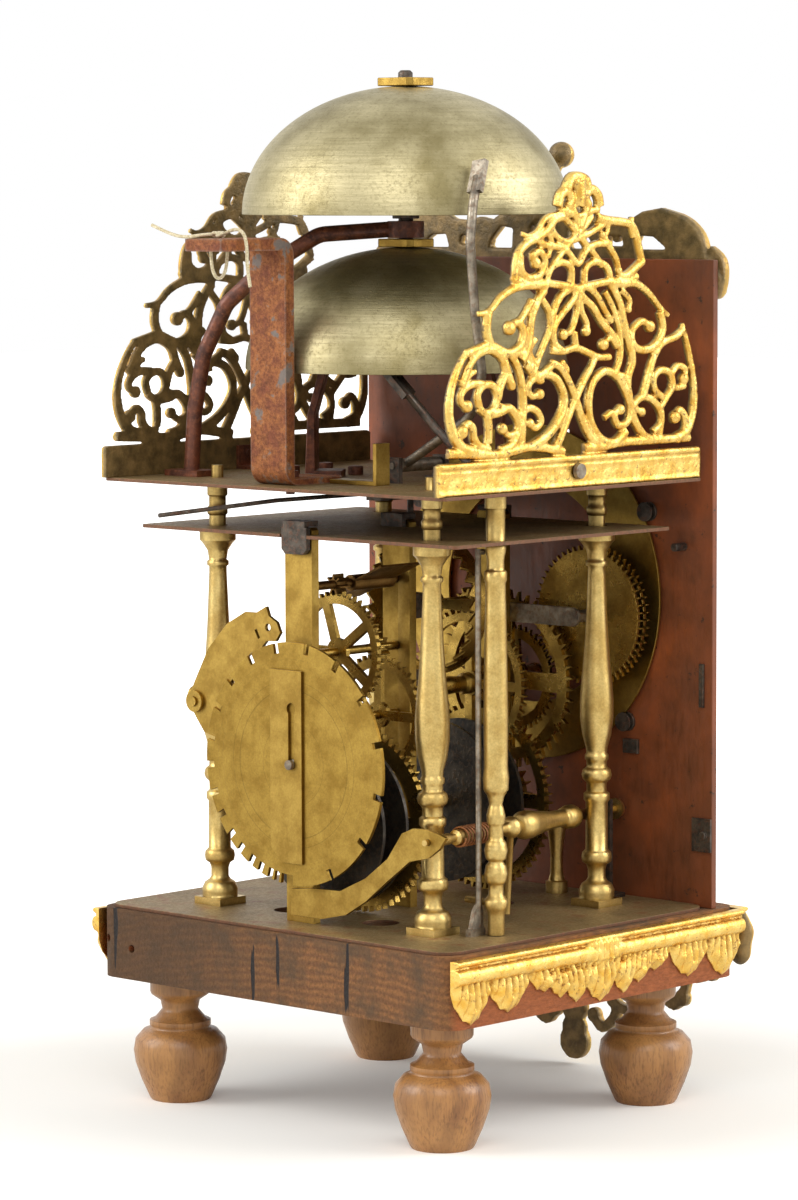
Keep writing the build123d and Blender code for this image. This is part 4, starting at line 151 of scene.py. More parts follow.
def aged_brass(name, bright, dull, dirt, grain=(1, 1, 1), rough=(0.22, 0.40), axis=None):
    """Old yellow brass, filed and once polished: warm where handled, olive-brown where tarnished, with
    lathe or compass lines round its axis where one is given as (x, z). Its corners and recesses are
    darkened with the dirt colour: painted shade, with some real dirt."""
    finish, tree, shader, coords = blank(name)
    tarnish = patches(tree, coords, 9.0, 0.38, 0.62)
    fine = patches(tree, coords, 0.9, 0.30, 0.70, detail=3.0)
    scratch = patches(tree, coords, 0.5, 0.35, 0.65, grain, 2.0)
    colour = worn_over(tree, bright, tarnish, 1.0, dull)
    colour = worn_over(tree, colour, fine, 0.30, dirt)
    # Painted shade, with some real dirt: corners and recesses found by ambient occlusion take the dirt
    # colour.
    colour = worn_over(tree, colour, shaded_hollows(tree, 2.5), 0.75, dirt)
    height = scratch
    if axis:
        hub = place(axis[0], -MIDDLE_Y, axis[1])
        centre = add(tree, "ShaderNodeMapping", {"Vector": coords, "Location": -hub, "Scale": (1, 0, 1)})
        reach = add(tree, "ShaderNodeVectorMath", {0: centre}, 1, operation="LENGTH")
        rings = add(tree, "ShaderNodeTexNoise", {"W": reach, "Scale": per(2.2), "Detail": 6.0,
                                                 "Roughness": 0.8}, noise_dimensions="1D")
        lines = add(tree, "ShaderNodeMapRange", {"Value": rings, "From Min": 0.615, "From Max": 0.63})
        colour = worn_over(tree, colour, lines, 0.38, dirt)
        height = add(tree, "ShaderNodeMath", {0: scratch, 1: lines}, operation="SUBTRACT")
    wire_up(tree, shader, colour, (tarnish, *rough), 1.0, height, 0.03, 0.5)
    return finish


def bell_bronze():
    """Cast bell metal turned on a lathe: silvery olive with fine rings, stains and a speckled rim."""
    finish, tree, shader, coords = blank("turned_bell_bronze")
    stain = patches(tree, coords, 30.0, 0.40, 0.64)
    speck = patches(tree, coords, 1.5, 0.50, 0.70, detail=8.0, rough=0.75)
    drawn = add(tree, "ShaderNodeMapping", {"Vector": coords, "Scale": (0.03, 0.03, 1.0)})
    rings = add(tree, "ShaderNodeTexNoise", {"Vector": drawn, "Scale": per(1.1), "Detail": 5.0,
                                             "Roughness": 0.75})
    lines = add(tree, "ShaderNodeMapRange", {"Value": rings, "From Min": 0.40, "From Max": 0.60})
    colour = worn_over(tree, "#c3b78f", stain, 1.0, "#92865e")
    colour = worn_over(tree, colour, speck, 0.50, "#6b6140")
    colour = worn_over(tree, colour, lines, 0.36, "#857b55")
    height = add(tree, "ShaderNodeMath", {0: lines, 1: speck}, operation="SUBTRACT")
    wire_up(tree, shader, colour, (speck, 0.40, 0.56), 0.95, height, 0.05, 0.6)
    return finish


def dusty_sheet_iron():
    """Hammered sheet iron, dull with dust on top, rust-red along its cut edges and spotted with rust."""
    finish, tree, shader, coords = blank("dusty_sheet_iron")
    dust = patches(tree, coords, 16.0, 0.35, 0.65)
    grit = patches(tree, coords, 1.3, 0.35, 0.65, detail=8.0, rough=0.75)
    rust = patches(tree, coords, 8.0, 0.54, 0.66)
    facing = add(tree, "ShaderNodeSeparateXYZ", {0: add(tree, "ShaderNodeNewGeometry", out=1)}, 2)
    bare = add(tree, "ShaderNodeMapRange", {"Value": facing, "From Min": 0.8, "From Max": 0.2})
    colour = worn_over(tree, "#86704a", dust, 1.0, "#a88f62")
    colour = worn_over(tree, colour, grit, 0.50, "#564329")
    colour = worn_over(tree, colour, rust, 0.70, "#7d4d2e")
    colour = worn_over(tree, colour, bare, 0.85, worn_over(tree, "#7b4630", grit, 1.0, "#5c4636"))
    wire_up(tree, shader, colour, (grit, 0.40, 0.66), 0.50, grit, 0.10, 0.5)
    return finish


def rusted_strap():
    """Wrought iron gone orange-red with rust, blue-grey scale left in patches, rubbed grey at its edges."""
    finish, tree, shader, coords = blank("rusted_wrought_strap")
    bloom = patches(tree, coords, 9.0, 0.40, 0.60, detail=8.0, rough=0.7)
    scale_left = patches(tree, coords, 9.0, 0.58, 0.64, detail=4.0)
    pits = patches(tree, coords, 1.5, 0.40, 0.62, detail=8.0, rough=0.8)
    edges = add(tree, "ShaderNodeAmbientOcclusion", {"Distance": 1.6 * MM}, 1, samples=6, inside=True)
    rubbed = add(tree, "ShaderNodeMapRange", {"Value": edges, "From Min": 0.62, "From Max": 0.42})
    colour = worn_over(tree, "#8a4722", bloom, 1.0, "#bc7434")
    colour = worn_over(tree, colour, pits, 0.75, "#57301f")
    colour = worn_over(tree, colour, scale_left, 0.9, "#77726d")
    colour = worn_over(tree, colour, rubbed, 0.8, "#8f877c")
    wire_up(tree, shader, colour, (pits, 0.42, 0.75), 0.15, pits, 0.25, 0.7)
    return finish


def forged_iron(name, light, dark, rust, metallic=0.6):
    """Hand-forged iron: dark, slightly shiny from handling, with specks of rust."""
    finish, tree, shader, coords = blank(name)
    wear = patches(tree, coords, 6.0, 0.38, 0.62)
    specks = patches(tree, coords, 1.8, 0.50, 0.62)
    colour = worn_over(tree, light, wear, 1.0, dark)
    colour = worn_over(tree, colour, specks, 0.5, rust)
    wire_up(tree, shader, colour, (wear, 0.32, 0.55), metallic, specks, 0.12, 0.5)
    return finish


def gilding(name, leaf="#f6d47a", shade="#d9a646", bare_axis=None, bare_side=1.0, ground="#6b4424"):
    """Burnished gold leaf over a rough casting or carving: bright where it stands proud, brown in its
    recesses, where the ground colour is painted in as shade with some dirt. A side that was never gilt, away
    from the axis given, has gone olive-brown."""
    finish, tree, shader, coords = blank(name)
    crumple = patches(tree, coords, 1.5, 0.25, 0.75, detail=4.0, rough=0.6)
    soft = patches(tree, coords, 6.0, 0.35, 0.65)
    wear = patches(tree, coords, 2.4, 0.60, 0.68, detail=7.0)
    colour = worn_over(tree, leaf, soft, 1.0, shade)
    # Painted shade, with some dirt: recesses found by ambient occlusion take the ground colour.
    colour = worn_over(tree, colour, shaded_hollows(tree, 3.5), 0.85, ground)
    colour = worn_over(tree, colour, wear, 0.75, ground)
    metal = add(tree, "ShaderNodeMapRange", {"Value": wear, "To Min": 0.92, "To Max": 0.35})
    if bare_axis is not None:
        facing = add(tree, "ShaderNodeSeparateXYZ", {0: add(tree, "ShaderNodeNewGeometry", out=1)}, bare_axis)
        back = add(tree, "ShaderNodeMapRange", {"Value": facing, "From Min": 0.30 * bare_side,
                                                "From Max": -0.15 * bare_side})
        edge = add(tree, "ShaderNodeMath", {0: wear, 1: 0.35, 2: back}, operation="MULTIPLY_ADD")
        ragged = add(tree, "ShaderNodeMapRange", {"Value": edge, "From Min": 0.3, "From Max": 0.8})
        brown = worn_over(tree, "#5c4c2b", soft, 1.0, "#94794a")
        colour = worn_over(tree, colour, ragged, 1.0, brown)
        metal = add(tree, "ShaderNodeMath", {0: ragged, 1: -0.6, 2: metal}, operation="MULTIPLY_ADD")
        crumple = add(tree, "ShaderNodeMath", {0: ragged, 1: 0.5, 2: crumple}, operation="MULTIPLY_ADD")
    wire_up(tree, shader, colour, (crumple, 0.20, 0.42), metal, crumple, 0.30, 0.55)
    return finish


def worn_end_grain():
    """Old softwood board sawn across: brown, furry end grain with dark cracks and ring lines, darker towards
    its +X end, and raw ochre ground on the side faces below the gilt band."""
    finish, tree, shader, coords = blank("worn_end_grain_board")
    turn = add(tree, "ShaderNodeMapping", {"Vector": coords, "Location": (0.03, 0.0, 0.09),
                                           "Scale": (1.0, 0.10, 2.2)})
    rings = add(tree, "ShaderNodeTexWave", {"Vector": turn, "Scale": per(22.0), "Distortion": 3.5,
                                            "Detail": 4.0, "Detail Scale": 2.0}, 1, wave_type="RINGS",
                rings_direction="Y")
    fibres = patches(tree, coords, 1.1, 0.35, 0.65, (1.0, 0.25, 0.8), 8.0, 0.75)
    dirt = patches(tree, coords, 18.0, 0.44, 0.62)
    drawn = add(tree, "ShaderNodeMapping", {"Vector": coords, "Scale": (1.0, 0.05, 0.10)})
    cracks = add(tree, "ShaderNodeTexNoise", {"Vector": drawn, "Scale": per(7.0), "Detail": 3.0})
    split = add(tree, "ShaderNodeMapRange", {"Value": cracks, "From Min": 0.318, "From Max": 0.308})
    spot = add(tree, "ShaderNodeSeparateXYZ", {0: coords}, None).outputs
    # A plain gradient: the board's colour darkens towards its +X end, from x = -30 mm to x = 60 mm.
    darker_towards_plus_x = add(tree, "ShaderNodeMapRange", {"Value": spot[0], "From Min": -30.0 * MM,
                                                 "From Max": 60.0 * MM})
    facing = add(tree, "ShaderNodeSeparateXYZ", {0: add(tree, "ShaderNodeNewGeometry", out=1)}, 0)
    side = add(tree, "ShaderNodeMath", {0: facing, 1: facing}, operation="MULTIPLY")
    side_face = add(tree, "ShaderNodeMapRange", {"Value": side, "From Min": 0.45, "From Max": 0.85})
    below_band = add(tree, "ShaderNodeMapRange", {"Value": spot[2], "From Min": 74.0 * MM,
                                                  "From Max": 68.0 * MM})
    ochre = add(tree, "ShaderNodeMath", {0: below_band, 1: side_face}, operation="MULTIPLY")
    colour = worn_over(tree, "#a8703a", rings, 1.0, "#8a582e")
    colour = worn_over(tree, colour, fibres, 0.70, "#4a3420")
    colour = worn_over(tree, colour, dirt, 0.85, "#55412a")
    colour = worn_over(tree, colour, darker_towards_plus_x, 0.75, "#4a3218")
    colour = worn_over(tree, colour, ochre, 0.85, worn_over(tree, "#b8622c", fibres, 0.8, "#7c4424"))
    colour = worn_over(tree, colour, split, 1.0, "#1d1410")
    depth = add(tree, "ShaderNodeMath", {0: split, 1: -2.0, 2: fibres}, operation="MULTIPLY_ADD")
    wire_up(tree, shader, colour, (fibres, 0.62, 0.85), 0.0, depth, 0.5, 0.8)
    return finish


def walnut():
    """Turned walnut with a worn wax polish: warm brown with darker figure and open pores."""
    finish, tree, shader, coords = blank("waxed_walnut")
    run = add(tree, "ShaderNodeMapping", {"Vector": coords, "Scale": (1.0, 1.0, 0.22)})
    figure = add(tree, "ShaderNodeTexWave", {"Vector": run, "Scale": per(40.0), "Distortion": 9.0,
                                             "Detail": 5.0, "Detail Scale": 1.6}, 1, wave_type="RINGS",
                 rings_direction="X")
    pores = patches(tree, coords, 0.9, 0.46, 0.66, (1.0, 1.0, 0.12), 5.0)
    shade = patches(tree, coords, 20.0, 0.35, 0.65)
    colour = worn_over(tree, "#ad7842", figure, 0.8, "#80522b")
    colour = worn_over(tree, colour, pores, 0.60, "#503118")
    colour = worn_over(tree, colour, shade, 0.45, "#bd8c50")
    wire_up(tree, shader, colour, (pores, 0.32, 0.52), 0.0, pores, 0.08, 0.5)
    shader.inputs["Coat Weight"].default_value = 0.25
    shader.inputs["Coat Roughness"].default_value = 0.25
    return finish


def red_oxide():
    """Sheet iron brushed with red-oxide paint, blackened by soot and age and chipped in places."""
    finish, tree, shader, coords = blank("red_oxide_paint")
    brush = patches(tree, coords, 2.4, 0.35, 0.65, (1.0, 1.0, 0.25))
    grime = patches(tree, coords, 30.0, 0.40, 0.62)
    chips = patches(tree, coords, 5.0, 0.62, 0.66, detail=8.0, rough=0.7)
    soot = patches(tree, coords, 70.0, 0.40, 0.60, (1.0, 1.0, 0.5), 4.0)
    colour = worn_over(tree, "#a4542a", grime, 0.85, "#5f321a")
    colour = worn_over(tree, colour, soot, 0.65, "#4b2c19")
    colour = worn_over(tree, colour, brush, 0.50, "#7d4322")
    colour = worn_over(tree, colour, chips, 0.9, "#30241a")
    wire_up(tree, shader, colour, (brush, 0.36, 0.58), 0.0, brush, 0.08, 0.5)
    return finish


def cotton_string():
    """Cream cotton string, two plies twisted together and a little fluffy."""
    finish, tree, shader, coords = blank("twisted_cotton_string")
    strands = patches(tree, coords, 0.7, 0.35, 0.65, detail=3.0)
    colour = worn_over(tree, "#f0e4c2", strands, 1.0, "#c4b184")
    wire_up(tree, shader, colour, (strands, 0.85, 0.95), 0.0, strands, 0.25, 0.8)
    shader.inputs["Sheen Weight"].default_value = 0.4
    return finish


def black_enamel():
    """Black wax filled into engraved figures, slightly glossy."""
    finish, tree, shader, coords = blank("black_engraving_wax")
    cracks = patches(tree, coords, 1.2, 0.35, 0.65)
    colour = worn_over(tree, "#191512", cracks, 1.0, "#2c2520")
    wire_up(tree, shader, colour, (cracks, 0.3, 0.5), 0.0, cracks, 0.03)
    return finish


pillar_brass = aged_brass("turned_pillar_brass", "#e2c680", "#c6a662", "#6b5224", (1, 1, 3), (0.30, 0.42))
wheel_brass = aged_brass("filed_wheel_brass", "#bd9c50", "#967838", "#4a3a1a", (8, 1, 1))
plate_brass = aged_brass("scraped_brass_sheet", "#b39349", "#967736", "#665022", (1, 1, 6), (0.28, 0.44))
disc_brass = aged_brass("compass_marked_brass_disc", "#ac8c42", "#917231", "#5b481e", (1, 1, 6), (0.30, 0.44),
                        axis=(-3.0, 65.2))
smoked_brass = aged_brass("smoked_brass_vane", "#8a6838", "#654a26", "#3a2a16", (1, 1, 6), (0.34, 0.50))
bell = bell_bronze()
sheet_iron = dusty_sheet_iron()
strap = rusted_strap()
dark_iron = forged_iron("dark_forged_iron", "#5f564c", "#37302a", "#6b4530")
bright_iron = forged_iron("rubbed_iron_rod", "#a59a88", "#6f665a", "#7d5c42", metallic=0.85)
red_iron = forged_iron("red_rusted_iron", "#74402a", "#48271b", "#925434", metallic=0.2)
black_iron = forged_iron("blackened_drum_iron", "#4b453d", "#2c2925", "#57432f", metallic=0.7)
coil_wire = forged_iron("rusty_spring_wire", "#a86f46", "#744a30", "#b5764a", metallic=0.6)
gilt_left = gilding("gilt_casting_left", bare_axis=0, bare_side=-1.0)
gilt_right = gilding("gilt_casting_right", bare_axis=0, bare_side=1.0)
gilt_front = gilding("gilt_casting_front", bare_axis=1, bare_side=-1.0)
gilt_wood = gilding("water_gilt_carving", "#ffdc80", "#f0bb50", ground="#8a5426")
board_wood = worn_end_grain()
foot_wood = walnut()
dial_paint = red_oxide()
string_finish = cotton_string()
figure_wax = black_enamel()

bodies = frame["record"]["behaviour"]["bodies"]
node_body = {name: body for body, members in bodies.items() for name in members}


def new_piece(name, data, material, node, stands_for=True):
    """An object for the part, with its material and the body of the node it belongs to."""
    piece = bpy.data.objects.new(name, data)
    bpy.context.scene.collection.objects.link(piece)
    data.materials.clear()
    data.materials.append(material)
    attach(piece, node_body[node])
    if stands_for:
        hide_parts(node)
    return piece


# Suspension string: a loop under the bracket's arm, the knot on the arm and two short frayed tails

STRING_DIAMETER = 1.4
KNOT_STRAND = 1.36
LOOP_ROUTE = [(8.2, 94.8, 276.2), (8.2, 94.8, 266.7), (8.2, 97.4, 260.7), (8.2, 101.6, 260.4),
              (8.2, 104.2, 266.6), (8.2, 104.2, 276.2)]
LONG_TAIL_ROUTE = [(10.6, 99.9, 277.9), (16.2, 100.3, 277.7), (25.2, 101.5, 276.5), (33.2, 102.3, 277.9),
                   (41.7, 103.9, 281.4)]
SHORT_TAIL_ROUTE = [(5.8, 98.9, 278.1), (1.2, 98.1, 280.4), (-3.6, 97.3, 278.8), (-4.6, 96.7, 272.7),
                    (-3.8, 96.1, 265.2), (-4.4, 94.9, 257.2)]


def string_piece(name, route, node):
    """A limp string on one smooth line through its route."""
    line = bpy.data.curves.new(name, "CURVE")
    line.dimensions = "3D"
    run = line.splines.new("NURBS")
    run.points.add(len(route) - 1)
    for point, corner in zip(run.points, route):
        point.co = (*place(*corner), 1.0)
    run.order_u, run.use_endpoint_u = 3, True
    run.resolution_u = 12
    line.bevel_depth, line.bevel_resolution = STRING_DIAMETER / 2 * MM, 4
    line.use_fill_caps = True
    return new_piece(name, line, string_finish, node)


KNOT_AT = (8.2, 99.5, 277.9)
KNOT_SPREAD = (0.92, 0.80, 0.62)
KNOT_POINTS = 24


def knot_piece(name, node):
    """The overhand knot in the string, drawn tight on top of the bracket's arm."""
    rope = bpy.data.curves.new(name, "CURVE")
    rope.dimensions = "3D"
    turns = rope.splines.new("NURBS")
    turns.points.add(KNOT_POINTS - 1)
    for k, point in enumerate(turns.points):
        t = 2 * math.pi * k / KNOT_POINTS
        trefoil = (math.sin(t) + 2 * math.sin(2 * t), math.cos(t) - 2 * math.cos(2 * t), -math.sin(3 * t))
        bend = [at + spread * c for at, spread, c in zip(KNOT_AT, KNOT_SPREAD, trefoil)]
        point.co = (*place(*bend), 1.0)
    turns.order_u, turns.use_cyclic_u, turns.resolution_u = 3, True, 6
    rope.bevel_depth, rope.bevel_resolution = KNOT_STRAND / 2 * MM, 3
    source = bpy.data.objects.new(name, rope)
    mesh = bpy.data.meshes.new_from_object(source)
    bpy.data.objects.remove(source)
    mesh.shade_smooth()
    return new_piece(name, mesh, string_finish, node)


loop = string_piece("suspension_loop", LOOP_ROUTE, "string_loop")
knot = knot_piece("string_knot", "string_loop")
long_tail = string_piece("long_string_tail", LONG_TAIL_ROUTE, "string_tails")
short_tail = string_piece("short_string_tail", SHORT_TAIL_ROUTE, "string_tails")

# The movement's plain pieces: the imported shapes, smoothed where they are turned and rounded at their edges


MERGE_MM = 0.004
CREASE_DEG = 32.0


def dressed(node, material, edge_mm):
    """The node's own shape with merged faces, smooth turned surfaces and slightly rounded edges."""
    mesh = nodes[node].data.copy()
    work = bmesh.new()
    work.from_mesh(mesh)
    bmesh.ops.remove_doubles(work, verts=work.verts, dist=MERGE_MM * MM)
    bmesh.ops.dissolve_limit(work, angle_limit=math.radians(0.4), verts=work.verts, edges=work.edges)
    work.to_mesh(mesh)
    work.free()
    mesh.shade_smooth()
    mesh.set_sharp_from_angle(angle=math.radians(CREASE_DEG))
    piece = new_piece("dressed_" + node, mesh, material, node)
    if edge_mm:
        rounding = piece.modifiers.new("worn_edges", "BEVEL")
        rounding.width, rounding.segments = edge_mm * MM, 2
        rounding.limit_method, rounding.angle_limit = "ANGLE", math.radians(40)
        rounding.harden_normals = True
    return piece


# Each plain node, its finish and how far its edges are rounded, in millimetres
FINISHES = {
    "stool_board": (board_wood, 1.2), "stool_feet": (foot_wood, 0), "base_plate": (sheet_iron, 0.2),
    "lower_top_plate": (sheet_iron, 0.25), "upper_top_plate": (sheet_iron, 0.25),
    "pillars": (pillar_brass, 0), "rear_bar": (plate_brass, 0.3), "middle_bar": (plate_brass, 0.3),
    "front_bar": (plate_brass, 0.3), "bar_latches": (dark_iron, 0.25), "dial_plate": (dial_paint, 0.4),
    "chapter_ring": (wheel_brass, 0.2), "dial_fixings": (dark_iron, 0.25), "fret_tabs": (red_iron, 0.25),
    "bell_stand": (red_iron, 0.6), "bell_stud": (dark_iron, 0.25), "lower_bell": (bell, 0.25),
    "upper_bell": (bell, 0.25), "bell_nuts": (plate_brass, 0.4), "upper_bell_stay": (red_iron, 0.25),
    "pendulum_bracket": (strap, 0.8), "deck_fittings": (red_iron, 0.25),
    "going_great_wheel": (wheel_brass, 0.15), "going_drum": (black_iron, 0.25),
    "minute_wheel": (wheel_brass, 0.15), "minute_hand": (wheel_brass, 0.15),
    "crown_wheel": (wheel_brass, 0.15), "verge": (dark_iron, 0.2), "verge_carriers": (dark_iron, 0.25),
    "hour_wheel": (wheel_brass, 0.15), "hour_hand": (wheel_brass, 0.15), "date_wheels": (wheel_brass, 0.15),
    "wheel_studs": (bright_iron, 0.2), "date_ring": (plate_brass, 0.2),
    "strike_great_wheel": (wheel_brass, 0.15), "strike_drum": (black_iron, 0.25),
    "strike_second_wheel": (wheel_brass, 0.15), "strike_third_wheel": (wheel_brass, 0.15),
    "fly": (smoked_brass, 0.15), "count_wheel": (disc_brass, 0.2), "keyhole_strip": (plate_brass, 0.2),
    "count_detent": (plate_brass, 0.25), "detent_stud": (plate_brass, 0.25),
    "striking_cock": (plate_brass, 0.3), "iron_cocks": (dark_iron, 0.25),
    "release_arbor": (pillar_brass, 0), "release_coil": (coil_wire, 0), "front_post": (pillar_brass, 0),
    "hammer_arbor": (pillar_brass, 0), "upper_hammer": (bright_iron, 0.2),
    "hammer_spring": (bright_iron, 0.2),
}

# Three nodes hold two metals: steel screws outside the frets, the lower hammer's iron above its brass arbor,
# and one brass lever on the deck, behind and to the left of the bell stand.
FRET_OUTSIDE = 94.2
HAMMER_FOOT_Z = 180.6
LEVER_CORNER = (-2.9, 40.0)
SECOND_METAL = {"fret_tabs": (bright_iron, lambda at: abs(at.x) > FRET_OUTSIDE),
                "hammer_arbor": (dark_iron, lambda at: at.z > HAMMER_FOOT_Z),
                "deck_fittings": (plate_brass, lambda at: at.x < LEVER_CORNER[0] and at.y > LEVER_CORNER[1])}

for plain_node, (plain_finish, edge) in FINISHES.items():
    plain = dressed(plain_node, plain_finish, edge)
    if plain_node in SECOND_METAL:
        other, belongs = SECOND_METAL[plain_node]
        plain.data.materials.append(other)
        for face in plain.data.polygons:
            face.material_index = int(belongs((face.center - place(0, 0, 0)) / MM))


def closed_mesh(name, work):
    """A mesh of the drawn shape with its faces turned outwards."""
    bmesh.ops.recalc_face_normals(work, faces=work.faces)
    mesh = bpy.data.meshes.new(name)
    work.to_mesh(mesh)
    work.free()
    return mesh


# Cast scrollwork: every drawn stroke becomes a rounded rib, and the ribs are fused into one casting


def smooth_line(points, steps=4):
    """Points along a smooth line through the given ones."""
    ends = [points[0], *points, points[-1]]
    line = []
    for p, q, r, s in zip(ends, ends[1:], ends[2:], ends[3:]):
        for k in range(steps):
            t = k / steps
            line.append([0.5 * (2 * b + (c - a) * t + (2 * a - 5 * b + 4 * c - d) * t * t
                                + (3 * b - a - 3 * c + d) * t ** 3) for a, b, c, d in zip(p, q, r, s)])
    return line + [list(points[-1])]


def rib_tree():
    """Sweeps each stroke with half a round bar as wide as the stroke, lifted by a web, flat at the back."""
    tree = bpy.data.node_groups.new("cast_ribs", "GeometryNodeTree")
    tree.interface.new_socket("Strokes", in_out="INPUT", socket_type="NodeSocketGeometry")
    for name in ("Web depth", "Rounding"):
        tree.interface.new_socket(name, in_out="INPUT", socket_type="NodeSocketFloat")
    tree.interface.new_socket("Ribs", in_out="OUTPUT", socket_type="NodeSocketGeometry")
    inlet = add(tree, "NodeGroupInput", out=None).outputs
    bar = add(tree, "GeometryNodeCurveArc", {"Resolution": 11, "Radius": 1.0, "Start Angle": math.pi,
                                             "Sweep Angle": math.pi, "Connect Center": True})
    swept = add(tree, "GeometryNodeCurveToMesh", {"Curve": inlet[0], "Profile Curve": bar, "Fill Caps": True,
                                                  "Scale": add(tree, "GeometryNodeInputRadius")})
    parts = add(tree, "ShaderNodeSeparateXYZ", {0: add(tree, "GeometryNodeInputPosition")}, None).outputs
    proud = add(tree, "ShaderNodeMath", {0: parts[2], 1: 0.02 * MM}, operation="GREATER_THAN")
    lift = add(tree, "ShaderNodeMath", {0: proud, 1: inlet[1]}, operation="MULTIPLY")
    high = add(tree, "ShaderNodeMath", {0: parts[2], 1: inlet[2], 2: lift}, operation="MULTIPLY_ADD")
    spot = add(tree, "ShaderNodeCombineXYZ", {0: parts[0], 1: parts[1], 2: high})
    raised = add(tree, "GeometryNodeSetPosition", {"Geometry": swept, "Position": spot})
    whole = add(tree, "GeometryNodeRealizeInstances", {"Geometry": raised})
    add(tree, "NodeGroupOutput", {0: add(tree, "GeometryNodeSetMaterial", {"Geometry": whole})})
    return tree


RIBS = rib_tree()


def applied(piece):
    """The piece's mesh with its modifiers worked in; the piece itself goes."""
    mesh = bpy.data.meshes.new_from_object(piece.evaluated_get(bpy.context.evaluated_depsgraph_get()))
    bpy.data.objects.remove(piece)
    return mesh


def swept_ribs(strokes, web_mm, rounding):
    """The ribs of a drawing, as a mesh lying in the X-Y plane with its back at z = 0.

    A stroke is its width at the start and at the end, its points, and where it has them the radius of a bead
    at its end and of another at its start.
    """
    drawing = bpy.data.curves.new("strokes", "CURVE")
    drawing.dimensions, drawing.twist_mode = "3D", "Z_UP"
    runs = []
    for start, end, points, *beads in strokes:
        line = smooth_line(points)
        last = len(line) - 1
        runs.append([(x, y, (start + (end - start) * k / last) / 2) for k, (x, y) in enumerate(line)])
        for (x, y), size in zip((points[-1], points[0]), beads):
            if size:
                runs.append([(x + size * u, y, max(0.05, size * math.sqrt(1 - u * u)))
                             for u in (-0.99, -0.9, -0.7, -0.4, 0.0, 0.4, 0.7, 0.9, 0.99)])
    for run in runs:
        spline = drawing.splines.new("POLY")
        spline.points.add(len(run) - 1)
        for point, (x, y, half) in zip(spline.points, run):
            point.co, point.radius = (x * MM, y * MM, 0.0, 1.0), half * MM
    piece = bpy.data.objects.new("strokes", drawing)
    bpy.context.scene.collection.objects.link(piece)
    sweep = piece.modifiers.new("ribs", "NODES")
    sweep.node_group = RIBS
    sockets = {item.name: item.identifier for item in RIBS.interface.items_tree if item.in_out == "INPUT"}
    sweep[sockets["Web depth"]] = web_mm * MM
    sweep[sockets["Rounding"]] = rounding
    return applied(piece)


def mirrored(strokes):
    """The strokes of one half, on the left and on the right."""
    return [(start, end, [(side * x, y) for x, y in line], *beads) for side in (-1, 1)
            for start, end, line, *beads in strokes]


def block(work, low, high):
    """Add a closed box between two corners given in millimetres."""
    corners = [work.verts.new(((low, high)[i][0] * MM, (low, high)[j][1] * MM, (low, high)[k][2] * MM))
               for k in (0, 1) for i, j in ((0, 0), (1, 0), (1, 1), (0, 1))]
    for face in ((0, 3, 2, 1), (4, 5, 6, 7), (0, 1, 5, 4), (1, 2, 6, 5), (2, 3, 7, 6), (3, 0, 4, 7)):
        work.faces.new([corners[k] for k in face])


def casting(name, node, material, parts, lay, voxel_mm=0.45, blocks=(), crumple_mm=0.12):
    """Fuse parts drawn in the plane into one smooth, slightly crumpled casting and lay it in its place."""
    work = bmesh.new()
    for part in parts:
        work.from_mesh(part)
    for low, high in blocks:
        block(work, low, high)
    mesh = bpy.data.meshes.new(name)
    work.to_mesh(mesh)
    work.free()
    piece = bpy.data.objects.new(name, mesh)
    bpy.context.scene.collection.objects.link(piece)
    fuse = piece.modifiers.new("fused", "REMESH")
    fuse.mode, fuse.voxel_size, fuse.use_smooth_shade = "VOXEL", voxel_mm * MM, True
    soften = piece.modifiers.new("softened", "SMOOTH")
    soften.factor, soften.iterations = 0.5, 3
    mesh = applied(piece)
    for vertex in mesh.vertices:
        x, y, z = vertex.co / MM
        bump = crumple_mm * noise.noise(Vector((x, y, z)) * 0.55) if z > 0.6 else 0.0
        vertex.co = lay(x, y, z + bump)
    work = bmesh.new()
    work.from_mesh(mesh)
    mesh = closed_mesh(name, work)
    mesh.shade_smooth()
    return new_piece(name, mesh, material, node)


